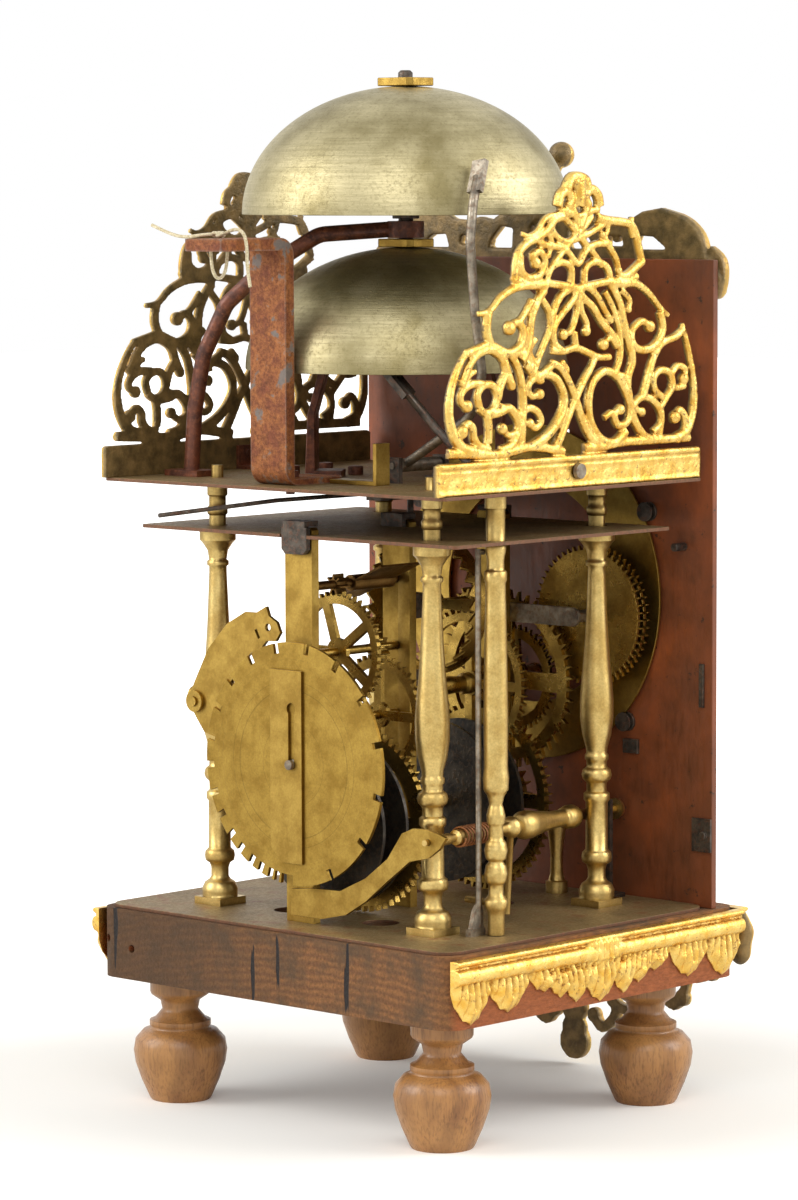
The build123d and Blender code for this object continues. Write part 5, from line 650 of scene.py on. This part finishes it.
DECK_Z = 177.2
FRET_X = 91.4
FRET_BAND = 13.0
FRET_STROKES = [
    (4.2, 4.2, [(76.5, 16.7), (60.2, 15.8), (46.5, 15.1), (30.2, 17.3), (19, 16.3), (9, 14.6)]),
    (4, 4, [(-3.5, 15.4), (-13.5, 15.4), (-28.5, 16.7), (-41, 16.7), (-53.5, 16.7), (-69.1, 16.7)]),
    (2.4, 5.4, [(65, 56.1), (70.2, 49.8), (74.5, 41.1), (75.8, 32.3), (73.5, 24.2), (68.4, 18.6),
     (61.5, 16.7)]),
    (3.6, 4.2, [(69, 42.3), (65.2, 49.2), (59.6, 54.4), (52, 56.1), (45, 52.6), (42, 46.3),
     (39.5, 41.6)], 2),
    (3, 2, [(70, 43.6), (65.2, 45.8), (61.2, 47.8)], 1.3),
    (3.4, 3.4, [(58.4, 34.2), (59.5, 38.8), (55.9, 42.3), (50.5, 42.1), (48, 37.6), (50.2, 32.9),
     (55, 31.6), (58.6, 33.8)]),
    (3.6, 3, [(56.2, 42.8), (62.8, 43.1), (68.2, 40.3), (69.2, 36.6), (65.5, 34.6)], 2.6),
    (4, 3.4, [(52.8, 17.3), (58.4, 18.6), (61.8, 22.1), (62.2, 25.8), (65.2, 27.8), (68.5, 24.8)], 2.8),
    (3.8, 3.6, [(54, 31.7), (53, 26.1), (53.2, 19.8)]),
    (4, 3.8, [(51.2, 31.1), (46.5, 31.6), (40.9, 32.9), (36, 28.3), (35.8, 23.6), (40, 18.3), (46.5, 16.7)]),
    (3.2, 2.6, [(35.8, 23.6), (40.9, 22.3), (45, 25.1)], 2.4),
    (3.8, 3.8, [(47.8, 36.7), (45.9, 42.3), (42.5, 46.3)]),
    (3.6, 4, [(41.2, 54.8), (35.9, 48.6), (33.8, 42.3), (32.8, 34.8), (33.4, 27.3), (34, 19.8),
     (35.9, 15.4)]),
    (3.4, 3.2, [(46.5, 33.6), (40.9, 32.6), (34.6, 29.8)]),
    (3.6, 3, [(33.4, 31.1), (29, 32.6), (24.2, 30.8), (22.2, 27.1), (25.5, 24.6), (29, 26.6)], 2.2),
    (3, 4.6, [(23.2, 37.8), (28, 37.1), (30, 40.6), (27.1, 43.8), (20.2, 45.4), (13.4, 43.6), (9, 37.9),
     (8.8, 32.3), (12.8, 26.1), (19, 21.3), (27.8, 17.3)], 0, 2.4),
    (3.6, 4.2, [(16.5, 49.8), (10.9, 47.9), (5.9, 42.3), (1.5, 34.8), (-2.2, 27.3), (-6.2, 21.3),
     (-12.2, 15.4)]),
    (3.2, 4.2, [(-11, 51.7), (-7.9, 47.3), (-3.5, 42.3), (0.9, 36.1), (5.2, 29.8), (9.5, 22.3), (14, 15.4)]),
    (2.6, 2.2, [(9, 43.6), (6.2, 46.8), (9.2, 49.8)], 1.4),
    (4.4, 3.2, [(-29.1, 21.1), (-22.2, 16.7), (-14.1, 18.3), (-7.9, 24.8), (-6.2, 32.9), (-8.8, 41.1),
     (-15.4, 45.4), (-21.6, 44.3), (-26.6, 40.4), (-31.6, 32.3), (-30.4, 24.8), (-24.5, 23.6),
     (-22.2, 27.9), (-25.8, 29.8)], 2.4),
    (2.8, 2.8, [(-16, 26.7), (-20.4, 28.8), (-22.2, 27.3)], 1.8),
    (4, 4, [(-32.2, 56.1), (-33.2, 48.6), (-30.4, 42.3), (-31, 34.8), (-34.1, 26.1), (-39.8, 19.2),
     (-46, 16.7)]),
    (3.6, 3.2, [(-33.5, 31.1), (-39.1, 34.2), (-46, 32.9), (-51, 27.9), (-51, 22.9), (-46, 19.8)]),
    (3, 3, [(-34.8, 29.8), (-39.1, 28.3)], 2.2),
    (2.4, 5, [(-64.5, 63.3), (-67.5, 56.1), (-70.5, 46.1), (-72.2, 36.1), (-71.5, 27.3), (-67.5, 19.8),
     (-61, 16.7)]),
    (4, 3, [(-66.6, 19.2), (-66.5, 24.8), (-63.2, 28.3), (-60, 25.3)], 2.8),
    (3.4, 4, [(-65.5, 60.8), (-59.8, 57.8), (-52.2, 55.8), (-47.2, 51.1), (-43.5, 43.6), (-41, 37.3),
     (-39.1, 33.6)]),
    (3.4, 3.4, [(-52.5, 33.6), (-47.2, 37.1), (-47, 42.3), (-51.6, 44.8), (-57.2, 43.1), (-58.5, 37.9),
     (-54.8, 33.8), (-51, 29.8)]),
    (3.2, 3, [(-57.2, 42.3), (-61.6, 46.1), (-66.8, 44.6), (-65.5, 40.8)], 2.6),
    (3.4, 3, [(-51, 29.8), (-51.6, 23.6), (-49.8, 16.7)]),
    (3, 3, [(-66.6, 37.9), (-61, 37.3), (-57.2, 39.8)]),
    (3.4, 3.4, [(66.5, 54.8), (59, 56.7), (51.5, 57.9), (42.8, 54.8), (34, 54.2), (30.2, 54.8)]),
    (2.2, 4.4, [(59.2, 70.1), (52.1, 71.1), (45.9, 76.1), (37.8, 79.6), (29, 80.8), (19, 80.4)]),
    (4, 3.4, [(52.8, 71.1), (54, 63.6), (50.2, 56.7), (42.8, 54.2), (35, 56.7), (32.5, 62.3), (35.9, 66.3),
     (40.9, 64.2)], 3),
    (3.2, 2.6, [(27.1, 74.8), (31.5, 69.8), (34, 67.3)], 1.6),
    (3.8, 4, [(20, 78.6), (24, 74.8), (27.8, 67.9), (29, 61.1), (30.9, 54.8), (34, 51.1)]),
    (3.2, 3, [(21.5, 74.8), (17.1, 69.8), (16.5, 63.6), (20.2, 57.3), (24, 51.1), (27.1, 44.8)]),
    (3, 3.4, [(30.2, 59.8), (29, 52.3), (26.5, 46.1), (21.5, 45.8), (14, 49.8)]),
    (2.8, 2.6, [(25.2, 59.8), (29, 54.8), (25.2, 49.8)], 1.8),
    (2.2, 4.4, [(-56.2, 66.6), (-51, 69.8), (-43.5, 76.1), (-36, 79.8), (-28.5, 80.3), (-19.8, 80.4)]),
    (4, 3.2, [(-50.5, 68.6), (-52.2, 61.1), (-47.2, 54.8), (-39.1, 53.3), (-33.5, 56.1), (-33.2, 61.1),
     (-39.1, 64.8), (-44.2, 62.6)], 2.6),
    (3.2, 2.6, [(-26, 77.9), (-31.6, 73.6), (-30.8, 69.8)], 1.8),
    (3.8, 4, [(-19.8, 79.8), (-24.8, 73.6), (-27.5, 66.1), (-30, 58.6), (-32.5, 52.3)]),
    (3.2, 3.2, [(-16, 77.3), (-20.8, 71.1), (-24.5, 63.6), (-26, 54.8), (-25, 48.6), (-21.6, 43.6)]),
    (3.6, 3.4, [(0, 78.6), (4, 73.6), (10.2, 68.6), (14.6, 63.6), (14, 57.3), (9, 54.2)]),
    (3.4, 3.2, [(4, 79.2), (10.2, 76.1), (14, 71.1), (16.5, 64.8)]),
    (3.6, 3.4, [(0, 78.6), (-3.5, 74.8), (-9.1, 71.1), (-14.8, 64.8), (-21, 59.8), (-24.2, 54.8)]),
    (3.4, 3.2, [(-5.4, 79.2), (-11, 76.1), (-16, 69.8), (-20.4, 64.8)]),
    (3.2, 2.6, [(0, 77.3), (0.5, 69.8), (4, 62.3), (9, 60.8)], 2.4),
    (3.2, 2.6, [(-1, 76.1), (-2.2, 69.8), (-5.5, 64.8), (-5, 61.7)], 2.2),
    (3.2, 3.2, [(16.5, 54.8), (9, 54.1), (1.5, 55.3), (-6, 53.3), (-12.2, 51.3), (-19.8, 51.1)]),
    (3, 2.6, [(-24.2, 54.8), (-19.8, 58.6), (-15.4, 56.1)], 2.6),
    (3.2, 3, [(2.1, 61.7), (0.9, 54.8)]),
    (3.6, 3.6, [(31.5, 49.8), (24, 43.6), (21.5, 43.6)]),
    (3.6, 3.6, [(-22.2, 43.6), (-28.5, 42.3), (-31.6, 34.8)]),
    (3, 3.6, [(38.8, 82.8), (30.2, 81.8), (19, 81.3), (6.5, 79.8), (0, 78.6)]),
    (3, 3.6, [(-36.6, 82.8), (-28.5, 81.6), (-18.5, 81.1), (-7.2, 79.8), (0, 78.6)]),
    (3.4, 4, [(37.5, 82.6), (37, 88.6), (35, 93.6), (30.2, 97.1), (24, 99.2), (19, 101.7), (14, 106.1),
     (9, 107.3)]),
    (2, 2.6, [(33.2, 100.8), (29, 99.8), (24, 101.7), (19, 106.7), (11.5, 108.3)]),
    (4.2, 3.2, [(35, 92.3), (34, 86.1), (29, 83.3), (22.8, 84.8), (20, 89.8), (22.8, 93.6), (27.1, 92.3),
     (25.2, 89.2)], 2.4),
    (3.6, 4, [(-39.1, 88.6), (-37.5, 93.6), (-35.4, 99.8), (-32.2, 103.6), (-26, 104.8), (-18.5, 105.4),
     (-11, 106.7)]),
    (2.2, 3, [(-33.5, 106.6), (-32.2, 102.9), (-34.1, 98.6)]),
    (4, 3.2, [(-39.8, 89.2), (-34.8, 86.1), (-29.1, 83.3), (-24.8, 83.8)]),
    (3.2, 2.8, [(-16, 98.6), (-19.8, 94.2), (-23.5, 89.8), (-24.8, 85.4)], 1.8),
    (3.2, 3.2, [(19, 81.7), (15.9, 87.3), (9, 89.2), (4, 86.7), (4, 80.4)]),
    (3.2, 3.2, [(-4.1, 80.4), (-4.8, 86.7), (-11, 89.2), (-17.9, 86.7), (-19.8, 81.7)]),
    (3.2, 3.2, [(25.2, 98.6), (19, 96.1), (11.5, 95.4), (6.5, 93.6), (0, 88.6), (-4.8, 93.6), (-11, 96.1),
     (-19.8, 96.1)]),
    (3, 3, [(16.5, 104.8), (14, 100.4), (7.8, 97.3), (0, 98.6), (-8.5, 101.1), (-16, 104.2)]),
    (3, 3, [(9, 107.3), (2.8, 102.9), (-3.5, 97.3), (-9.8, 92.3), (-14.8, 87.3)]),
    (3, 3, [(-8.5, 107.3), (-3.5, 102.9), (2.8, 98.6), (9, 93.6), (14.6, 88.6)]),
    (3, 2.6, [(19, 101.7), (15.9, 97.3), (17.8, 92.3)], 1.6),
    (2.8, 2.6, [(-18.5, 105.4), (-17.5, 100.4), (-14.8, 99.8)], 1.6),
    (4.6, 4, [(12.1, 111.1), (10.9, 115.4), (7.1, 117.3), (4, 114.2), (6.5, 111.1)], 1.4),
    (4.6, 4, [(-12.9, 111.1), (-12, 115.4), (-7.9, 117.9), (-4.5, 114.8), (-6.6, 111.1)], 1.4),
    (5.2, 4.4, [(6.8, 118.6), (4, 122.1), (-0.5, 122.6), (-4.8, 121.3), (-5.5, 118.3)], 0, 2.6),
    (7, 6, [(0, 121.1), (-0.5, 116.1), (-0.2, 111.1)]),
    (3.6, 3.6, [(4, 111.1), (1.5, 107.3), (0, 102.9)]),
    (3.6, 3.6, [(-5.4, 111.1), (-3.5, 107.3), (-1, 102.9)]),
    (3.2, 3.2, [(11.5, 109.8), (6.5, 109.2), (0, 107.3), (-7.2, 109.2), (-12.5, 109.8)]),
]
band_strokes = [
    (2.8, 2.8, [(-74.0, 11.6), (0.0, 11.6), (82.0, 11.6)]),
    (1.4, 1.4, [(-74.4, 8.8), (0.0, 8.8), (82.4, 8.8)]),
    (1.6, 1.6, [(-74.4, 1.0), (0.0, 1.0), (82.4, 1.0)]),
]
fret_ribs = [swept_ribs(FRET_STROKES, 1.3, 0.95), swept_ribs(band_strokes, 2.4, 1.0)]
fret_band = [((-75.4, 0.0, 0.0), (83.4, FRET_BAND - 0.6, 2.7))]
casting("left_fret_casting", "left_fret", gilt_left, fret_ribs,
        lambda u, v, h: place(-FRET_X - h, u, DECK_Z + v), blocks=fret_band)
casting("right_fret_casting", "right_fret", gilt_right, fret_ribs,
        lambda u, v, h: place(FRET_X + h, u, DECK_Z + v), blocks=fret_band)

# Front crest: its packed outline, with scrolls and leaves raised on the face that looks forward

CREST_LOW = 254.0
CREST_Y = -83.8
half_crest = [
    (4.6, 4.6, [(0, 13.6), (45, 13.6), (89, 13.6)]),
    (6.5, 7.5, [(90, 15), (95, 11), (95.5, 5), (94, -1)], 3.4),
    (3.2, 2.4, [(91, 9), (92.5, 3)], 1.4),
    (6.4, 5.0, [(87, 14), (84.5, 21), (78, 26.5), (69, 29), (60, 28.5), (52.5, 24), (49.5, 18), (50, 14)]),
    (3.6, 2.8, [(74, 27), (74.5, 21), (70, 18.5), (66.5, 21.5)], 2.2),
    (4.6, 3.6, [(53, 25.5), (44, 24.6), (36, 24.5), (33, 19), (33.5, 14)]),
    (3.0, 2.4, [(42, 24), (41, 20.5)], 2.0),
    (5.0, 4.2, [(35, 25), (29, 24.5), (23.5, 27.5), (17.5, 31.5), (13.5, 37), (9, 41)]),
    (3.4, 2.6, [(13.0, 14), (13.5, 20), (12, 26)], 2.0),
    (3.6, 2.6, [(7, 24), (9.5, 30), (6, 35), (2.6, 32)], 1.8),
]
crest_strokes = [*mirrored(half_crest), (7.0, 9.0, [(0, 14), (0, 27), (0, 40)])]


def plane_copy(node, flatten):
    """A node's own shape, brought from its place into the drawing plane."""
    work = bmesh.new()
    work.from_mesh(nodes[node].data)
    bmesh.ops.remove_doubles(work, verts=work.verts, dist=MERGE_MM * MM)
    for vertex in work.verts:
        x, y, z = vertex.co / MM
        vertex.co = Vector(flatten(x, y - MIDDLE_Y, z + FLOOR_Z)) * MM
    return closed_mesh(node, work)


crest_body = plane_copy("front_crest", lambda x, y, z: (x, z - CREST_LOW, CREST_Y - y))
casting("front_crest_casting", "front_crest", gilt_front, [crest_body, swept_ribs(crest_strokes, 2.6, 0.9)],
        lambda u, v, h: place(u, CREST_Y - h, CREST_LOW + v), voxel_mm=0.6)

# Openwork apron under the board: its packed outline, with its scrolls raised

APRON_TOP = -30.4
APRON_Y = -104.3
half_apron = [
    (5.0, 4.4, [(2, -25), (7, -20), (14, -16), (22, -20), (23, -28), (16, -34), (11, -29)], 3.2),
    (4.4, 4.2, [(21, -22), (30, -25), (40, -22), (44, -14), (38, -7), (31, -11)], 3.0),
    (4.2, 3.8, [(43, -16), (50, -18), (58, -16), (62, -10), (58, -4)]),
    (3.6, 3.4, [(50, -17), (56, -20), (60, -16)], 3.6),
    (3.8, 3.4, [(60, -6), (68, -7), (76, -4)], 3.0),
    (4.0, 3.4, [(12, -17), (12, -8), (18, -4)], 2.4),
    (3.6, 3.6, [(0, 1.4), (38, 1.4), (76, 1.4)]),
]
apron_strokes = [*mirrored(half_apron), (6.0, 5.0, [(0, 0), (0, -18), (0, -36)], 6.4),
                 (9.0, 9.0, [(0, -24), (0, -27), (0, -30)])]
apron_body = plane_copy("front_apron", lambda x, y, z: (x, z - APRON_TOP, APRON_Y - y))
casting("front_apron_carving", "front_apron", gilt_front, [apron_body, swept_ribs(apron_strokes, 2.6, 0.3)],
        lambda u, v, h: place(u, APRON_Y - h, APRON_TOP + v), voxel_mm=0.6)

# Carved mouldings round the board: a rolled band over a row of fluted leaves that meet at a shell

BAND_DEEP = 12.6
BAND_ROLLS = 9.6
LEAF_FROM = 9.0
# Leaves by their middle from the shell, half width, reach below the band's top and flutes
SIDE_LEAVES = [(0.0, 12.0, 27.0, 5), (14.5, 8.5, 25.6, 4), (24.0, 8.5, 22.6, 4), (34.0, 9.0, 19.0, 4),
               (55.5, 12.0, 24.2, 5), (77.4, 11.4, 26.4, 5)]
SHELL_HALF = 11.0


def leaf_depth(u, leaves):
    """How far the carving's lower edge hangs below the band's top at one place along it."""
    reach = BAND_DEEP
    for middle, half, low, flutes in leaves:
        s = (u - middle) / half
        if abs(s) < 1:
            scallop = 0.9 * abs(math.sin(s * flutes * 1.57))
            reach = max(reach, BAND_DEEP + (low - BAND_DEEP) * (1 - abs(s) ** 1.7) ** 0.75 - scallop)
    return reach


def rounded(s):
    """A half-round profile, 1 in the middle and 0 at s = -1 and 1."""
    return max(0.0, 1 - s * s) ** 0.5


def leaf_height(u, v, leaves):
    """How far the carving stands proud at a place along and down it."""
    shell = rounded(u / SHELL_HALF) * (2.6 + 0.5 * math.cos(u * 1.9)) * min(1.0, v / 2.5)
    if v < BAND_ROLLS:
        return 2.3 + max(rounded((v - 1.1) / 1.2) * 1.9, rounded((v - 6.6) / 3.1) * 2.5, shell)
    height = 1.5 + shell * max(0.0, 1 - (v - BAND_ROLLS) / 5.0)
    for middle, half, low, flutes in leaves:
        s, t = (u - middle) / half, (v - LEAF_FROM) / (low - LEAF_FROM)
        if abs(s) < 1:
            lean = math.copysign(0.28, middle) * (v - LEAF_FROM) if 10 < abs(middle) < 40 else 0.0
            fan = (s * half + lean) / (half * (0.70 + 0.30 * t))
            body = rounded(s) * (0.50 + 0.50 * math.sin(math.pi * min(1.0, 0.15 + 0.72 * t)))
            groove = abs(math.cos(fan * flutes * 1.57)) ** 3
            tip = max(0.0, 1 - ((s * half) / 3.4) ** 2 - ((v - low + 3.4) / 3.2) ** 2) ** 0.5
            height = max(height, 0.9 + 3.6 * body - 1.7 * groove * (1 - abs(s) ** 4) + 1.2 * tip)
    drilled = min(1.0, min((Vector((u, v)) - Vector((middle + side * (half - 0.4), 11.2))).length
                           for middle, half, low, flutes in leaves for side in (-1, 1)) / 1.1)
    return height * (0.35 + 0.65 * drilled)


def carved_strip(name, node, length, lay, share=1.0, step_mm=0.5, rows=46):
    """A carved moulding as one closed shell: its carved face, its flat back and the edges between."""
    leaves = [(side * middle, half, low, flutes) for middle, half, low, flutes in SIDE_LEAVES
              for side in ((1,) if middle == 0 else (-1, 1))]
    columns = round(length / step_mm)
    work = bmesh.new()
    front, back = [], []
    for i in range(columns + 1):
        u = length * (i / columns - 0.5)
        depth = leaf_depth(u, leaves)
        for sheet, carved in ((front, True), (back, False)):
            sheet.append([])
            for j in range(rows + 1):
                v = depth * j / rows
                edge = min(1.0, 3.2 * (1 - j / rows) + 0.25, (length / 2 - abs(u)) / 0.8 + 0.35)
                rough = 0.6 * noise.noise(Vector((u * 0.3, v * 0.3, len(name)))) * (v > LEAF_FROM)
                h = max(0.4, leaf_height(u, v, leaves) * edge + rough) * share if carved else 0.0
                sheet[-1].append(work.verts.new(lay(u, -v, h)))
    for i in range(columns):
        for j in range(rows):
            for sheet in (front, back):
                work.faces.new((sheet[i][j], sheet[i + 1][j], sheet[i + 1][j + 1], sheet[i][j + 1]))
    rim = [(i, 0) for i in range(columns)] + [(columns, j) for j in range(rows)]
    rim += [(i, rows) for i in range(columns, 0, -1)] + [(0, j) for j in range(rows, 0, -1)]
    for (a, b), (c, d) in zip(rim, rim[1:] + rim[:1]):
        work.faces.new((front[a][b], front[c][d], back[c][d], back[a][b]))
    mesh = closed_mesh(name, work)
    mesh.shade_smooth()
    mesh.set_sharp_from_angle(angle=math.radians(60))
    return new_piece(name, mesh, gilt_wood, node)


STRIP_TOP = -2.6
BOARD_SIDE_X = 99.0
BOARD_FRONT_Y = -95.0
SIDE_STRIP, SIDE_MIDDLE_Y = 177.0, -6.0
FRONT_STRIP = 197.6
carved_strip("left_moulding_carving", "left_moulding", SIDE_STRIP,
             lambda u, v, h: place(-BOARD_SIDE_X - h, SIDE_MIDDLE_Y + u, STRIP_TOP + v))
carved_strip("right_moulding_carving", "right_moulding", SIDE_STRIP,
             lambda u, v, h: place(BOARD_SIDE_X + h, SIDE_MIDDLE_Y + u, STRIP_TOP + v))
carved_strip("front_moulding_carving", "front_moulding", FRONT_STRIP,
             lambda u, v, h: place(u, BOARD_FRONT_Y - h, STRIP_TOP + v), share=1.75)

END_LEAF_AT = (96.0, -99.6, -15.4)
END_LEAF_HALF = (6.3, 4.3, 11.8)


def curled_leaf(name, side):
    """The acanthus leaf curled over each end of the front moulding."""
    work = bmesh.new()
    bmesh.ops.create_uvsphere(work, u_segments=48, v_segments=32, radius=1.0)
    for vertex in work.verts:
        x, y, z = vertex.co
        vein = 1 - 0.16 * (0.5 + 0.5 * math.cos(5 * math.atan2(x, 1.2 + z))) * (y < 0)
        curl = 1 + 0.10 * math.sin(6 * z)
        x, y, z = (at + half * c for at, half, c in zip(END_LEAF_AT, END_LEAF_HALF, (x * curl, y * vein, z)))
        vertex.co = place(side * x, y, z)
    mesh = closed_mesh(name, work)
    mesh.shade_smooth()
    return new_piece(name, mesh, gilt_front, "front_moulding", stands_for=False)


curled_leaf("left_end_leaf", -1)
curled_leaf("right_end_leaf", 1)

# Chapter ring: hour figures cut and filled with wax, and the sixty minute marks

RING_Z = 89.0
RING_FRONT = -84.0
FIGURE_FOOT = 69.0
FIGURE_TALL = 11.0
MINUTE_CIRCLE = 84.0
NUMERALS = ("XII", "I", "II", "III", "IIII", "V", "VI", "VII", "VIII", "IX", "X", "XI")


def numeral_bars(numeral):
    """The bars of a Roman figure as (x low, x high at the foot, x at the top, width) and its width."""
    bars, x = [], 0.0
    for letter in numeral:
        if letter == "I":
            bars.append((x + 1.6, x + 1.6, 1.5))
            x += 3.2
        elif letter == "V":
            bars += [(x + 3.2, x + 1.2, 1.7), (x + 3.2, x + 5.2, 0.7)]
            x += 6.4
        else:
            bars += [(x + 5.3, x + 1.2, 1.7), (x + 1.2, x + 5.3, 0.7)]
            x += 6.5
    return bars, x


def hour_figures():
    """Twelve Roman hour figures, standing upright towards the ring's edge."""
    work = bmesh.new()
    for hour, numeral in enumerate(NUMERALS):
        bars, width = numeral_bars(numeral)
        turn = -math.radians(30 * hour)
        high = FIGURE_TALL - 0.3
        marks = [[(foot - w / 2, 0.3), (foot + w / 2, 0.3), (top + w / 2, high), (top - w / 2, high)]
                 for foot, top, w in bars]
        marks += [[(x - serif, y), (x + serif, y), (x + serif, y + 0.5), (x - serif, y + 0.5)]
                  for foot, top, w in bars for serif in (w / 2 + 0.7,)
                  for x, y in ((foot, 0.0), (top, FIGURE_TALL - 0.5))]
        for layer, mark in enumerate(marks):
            rise = 0.10 + 0.004 * layer
            rings = []
            for depth in (0.0, rise):
                ring = []
                for x, y in mark:
                    spot = Matrix.Rotation(turn, 2) @ Vector((x - width / 2, y + FIGURE_FOOT))
                    ring.append(work.verts.new(place(spot.x, RING_FRONT - depth, RING_Z + spot.y)))
                rings.append(ring)
            work.faces.new(rings[1])
            work.faces.new(rings[0][::-1])
            for k in range(4):
                work.faces.new((rings[0][k], rings[0][k - 1], rings[1][k - 1], rings[1][k]))
    return new_piece("hour_figures", closed_mesh("hour_figures", work), figure_wax, "chapter_ring",
                     stands_for=False)


def minute_tree():
    """One small bar at each of the minutes round a circle."""
    tree = bpy.data.node_groups.new("minute_marks", "GeometryNodeTree")
    tree.interface.new_socket("Geometry", in_out="INPUT", socket_type="NodeSocketGeometry")
    for name in ("Radius", "Mark length", "Mark width", "Mark depth"):
        tree.interface.new_socket(name, in_out="INPUT", socket_type="NodeSocketFloat")
    tree.interface.new_socket("Marks", in_out="OUTPUT", socket_type="NodeSocketGeometry")
    inlet = add(tree, "NodeGroupInput", out=None).outputs
    ring = add(tree, "GeometryNodeMeshCircle", {"Vertices": 60, "Radius": inlet[1]})
    size = add(tree, "ShaderNodeCombineXYZ", {0: inlet[2], 1: inlet[3], 2: inlet[4]})
    bar = add(tree, "GeometryNodeMeshCube", {"Size": size})
    turn = add(tree, "FunctionNodeAlignRotationToVector", {"Vector": add(tree, "GeometryNodeInputPosition")},
               axis="X")
    marks = add(tree, "GeometryNodeInstanceOnPoints", {"Points": ring, "Instance": bar, "Rotation": turn})
    whole = add(tree, "GeometryNodeRealizeInstances", {"Geometry": marks})
    add(tree, "NodeGroupOutput", {0: add(tree, "GeometryNodeSetMaterial", {"Geometry": whole})})
    return tree


def minute_marks():
    """The sixty minute marks outside the hour figures."""
    tree = minute_tree()
    piece = bpy.data.objects.new("minute_marks", bpy.data.meshes.new("minute_marks"))
    bpy.context.scene.collection.objects.link(piece)
    spread = piece.modifiers.new("marks", "NODES")
    spread.node_group = tree
    sizes = {"Radius": MINUTE_CIRCLE, "Mark length": 3.2, "Mark width": 0.55, "Mark depth": 0.24}
    for item in tree.interface.items_tree:
        if item.name in sizes:
            spread[item.identifier] = sizes[item.name] * MM
    mesh = applied(piece)
    for vertex in mesh.vertices:
        x, y, z = vertex.co / MM
        vertex.co = place(x, RING_FRONT - z, RING_Z + y)
    work = bmesh.new()
    work.from_mesh(mesh)
    return new_piece("minute_marks", closed_mesh("minute_marks", work), figure_wax, "chapter_ring",
                     stands_for=False)


hour_figures()
minute_marks()

# Floor and light

LAMP_AIM = (0.0, 0.0, 0.2)
PAPER_HALF = 6.0


def paper_floor():
    """White seamless paper that keeps the object's soft shadow and is pure white further out."""
    finish, tree, shader, coords = blank("white_seamless_paper")
    shader.inputs["Base Color"].default_value = linear("#f6f4ee")
    shader.inputs["Roughness"].default_value = 0.9
    reach = add(tree, "ShaderNodeVectorMath", {0: coords}, 1, operation="LENGTH")
    glow = add(tree, "ShaderNodeMapRange", {"Value": reach, "From Min": 0.20, "From Max": 0.85,
                                            "To Min": 0.11, "To Max": 1.0})
    seen = add(tree, "ShaderNodeLightPath")
    shown = add(tree, "ShaderNodeMath", {0: glow, 1: seen}, operation="MULTIPLY")
    shader.inputs["Emission Color"].default_value = (1, 1, 1, 1)
    tree.links.new(shown, shader.inputs["Emission Strength"])
    paper = bpy.data.meshes.new("paper")
    corners = [(x * PAPER_HALF, y * PAPER_HALF, 0) for x, y in ((-1, -1), (1, -1), (1, 1), (-1, 1))]
    paper.from_pydata(corners, [], [(0, 1, 2, 3)])
    floor = bpy.data.objects.new("paper_floor", paper)
    bpy.context.scene.collection.objects.link(floor)
    paper.materials.append(finish)


def studio_world():
    """A pale studio: white to the camera and in reflections, softer as a light."""
    world = bpy.data.worlds.new("pale_studio")
    bpy.context.scene.world = world
    world.use_nodes = True
    tree = world.node_tree
    tree.nodes.clear()
    rays = add(tree, "ShaderNodeLightPath", out=None).outputs
    mirror = add(tree, "ShaderNodeMath", {0: rays["Is Glossy Ray"], 1: rays["Is Transmission Ray"]},
                 operation="MAXIMUM")
    seen = add(tree, "ShaderNodeMath", {0: rays["Is Camera Ray"], 1: mirror}, operation="MAXIMUM")
    strength = add(tree, "ShaderNodeMapRange", {"Value": seen, "To Min": 0.62, "To Max": 1.0})
    back = add(tree, "ShaderNodeBackground", {"Color": "#ffffff", "Strength": strength})
    add(tree, "ShaderNodeOutputWorld", {"Surface": back})


def soft_lamp(name, at, size, power):
    """A round diffused lamp that faces the middle of the object."""
    lamp = bpy.data.lights.new(name, "AREA")
    lamp.shape, lamp.size, lamp.energy = "DISK", size, power
    holder = bpy.data.objects.new(name, lamp)
    bpy.context.scene.collection.objects.link(holder)
    holder.location = at
    holder.rotation_euler = (Vector(LAMP_AIM) - Vector(at)).to_track_quat("-Z", "Y").to_euler()


paper_floor()
studio_world()
soft_lamp("left_side", (-1.45, -1.05, 1.10), 1.4, 21.0)
soft_lamp("rear_side", (1.10, 1.40, 1.10), 1.4, 21.0)
soft_lamp("camera_side", (-1.0, 1.3, 1.5), 1.4, 11.0)
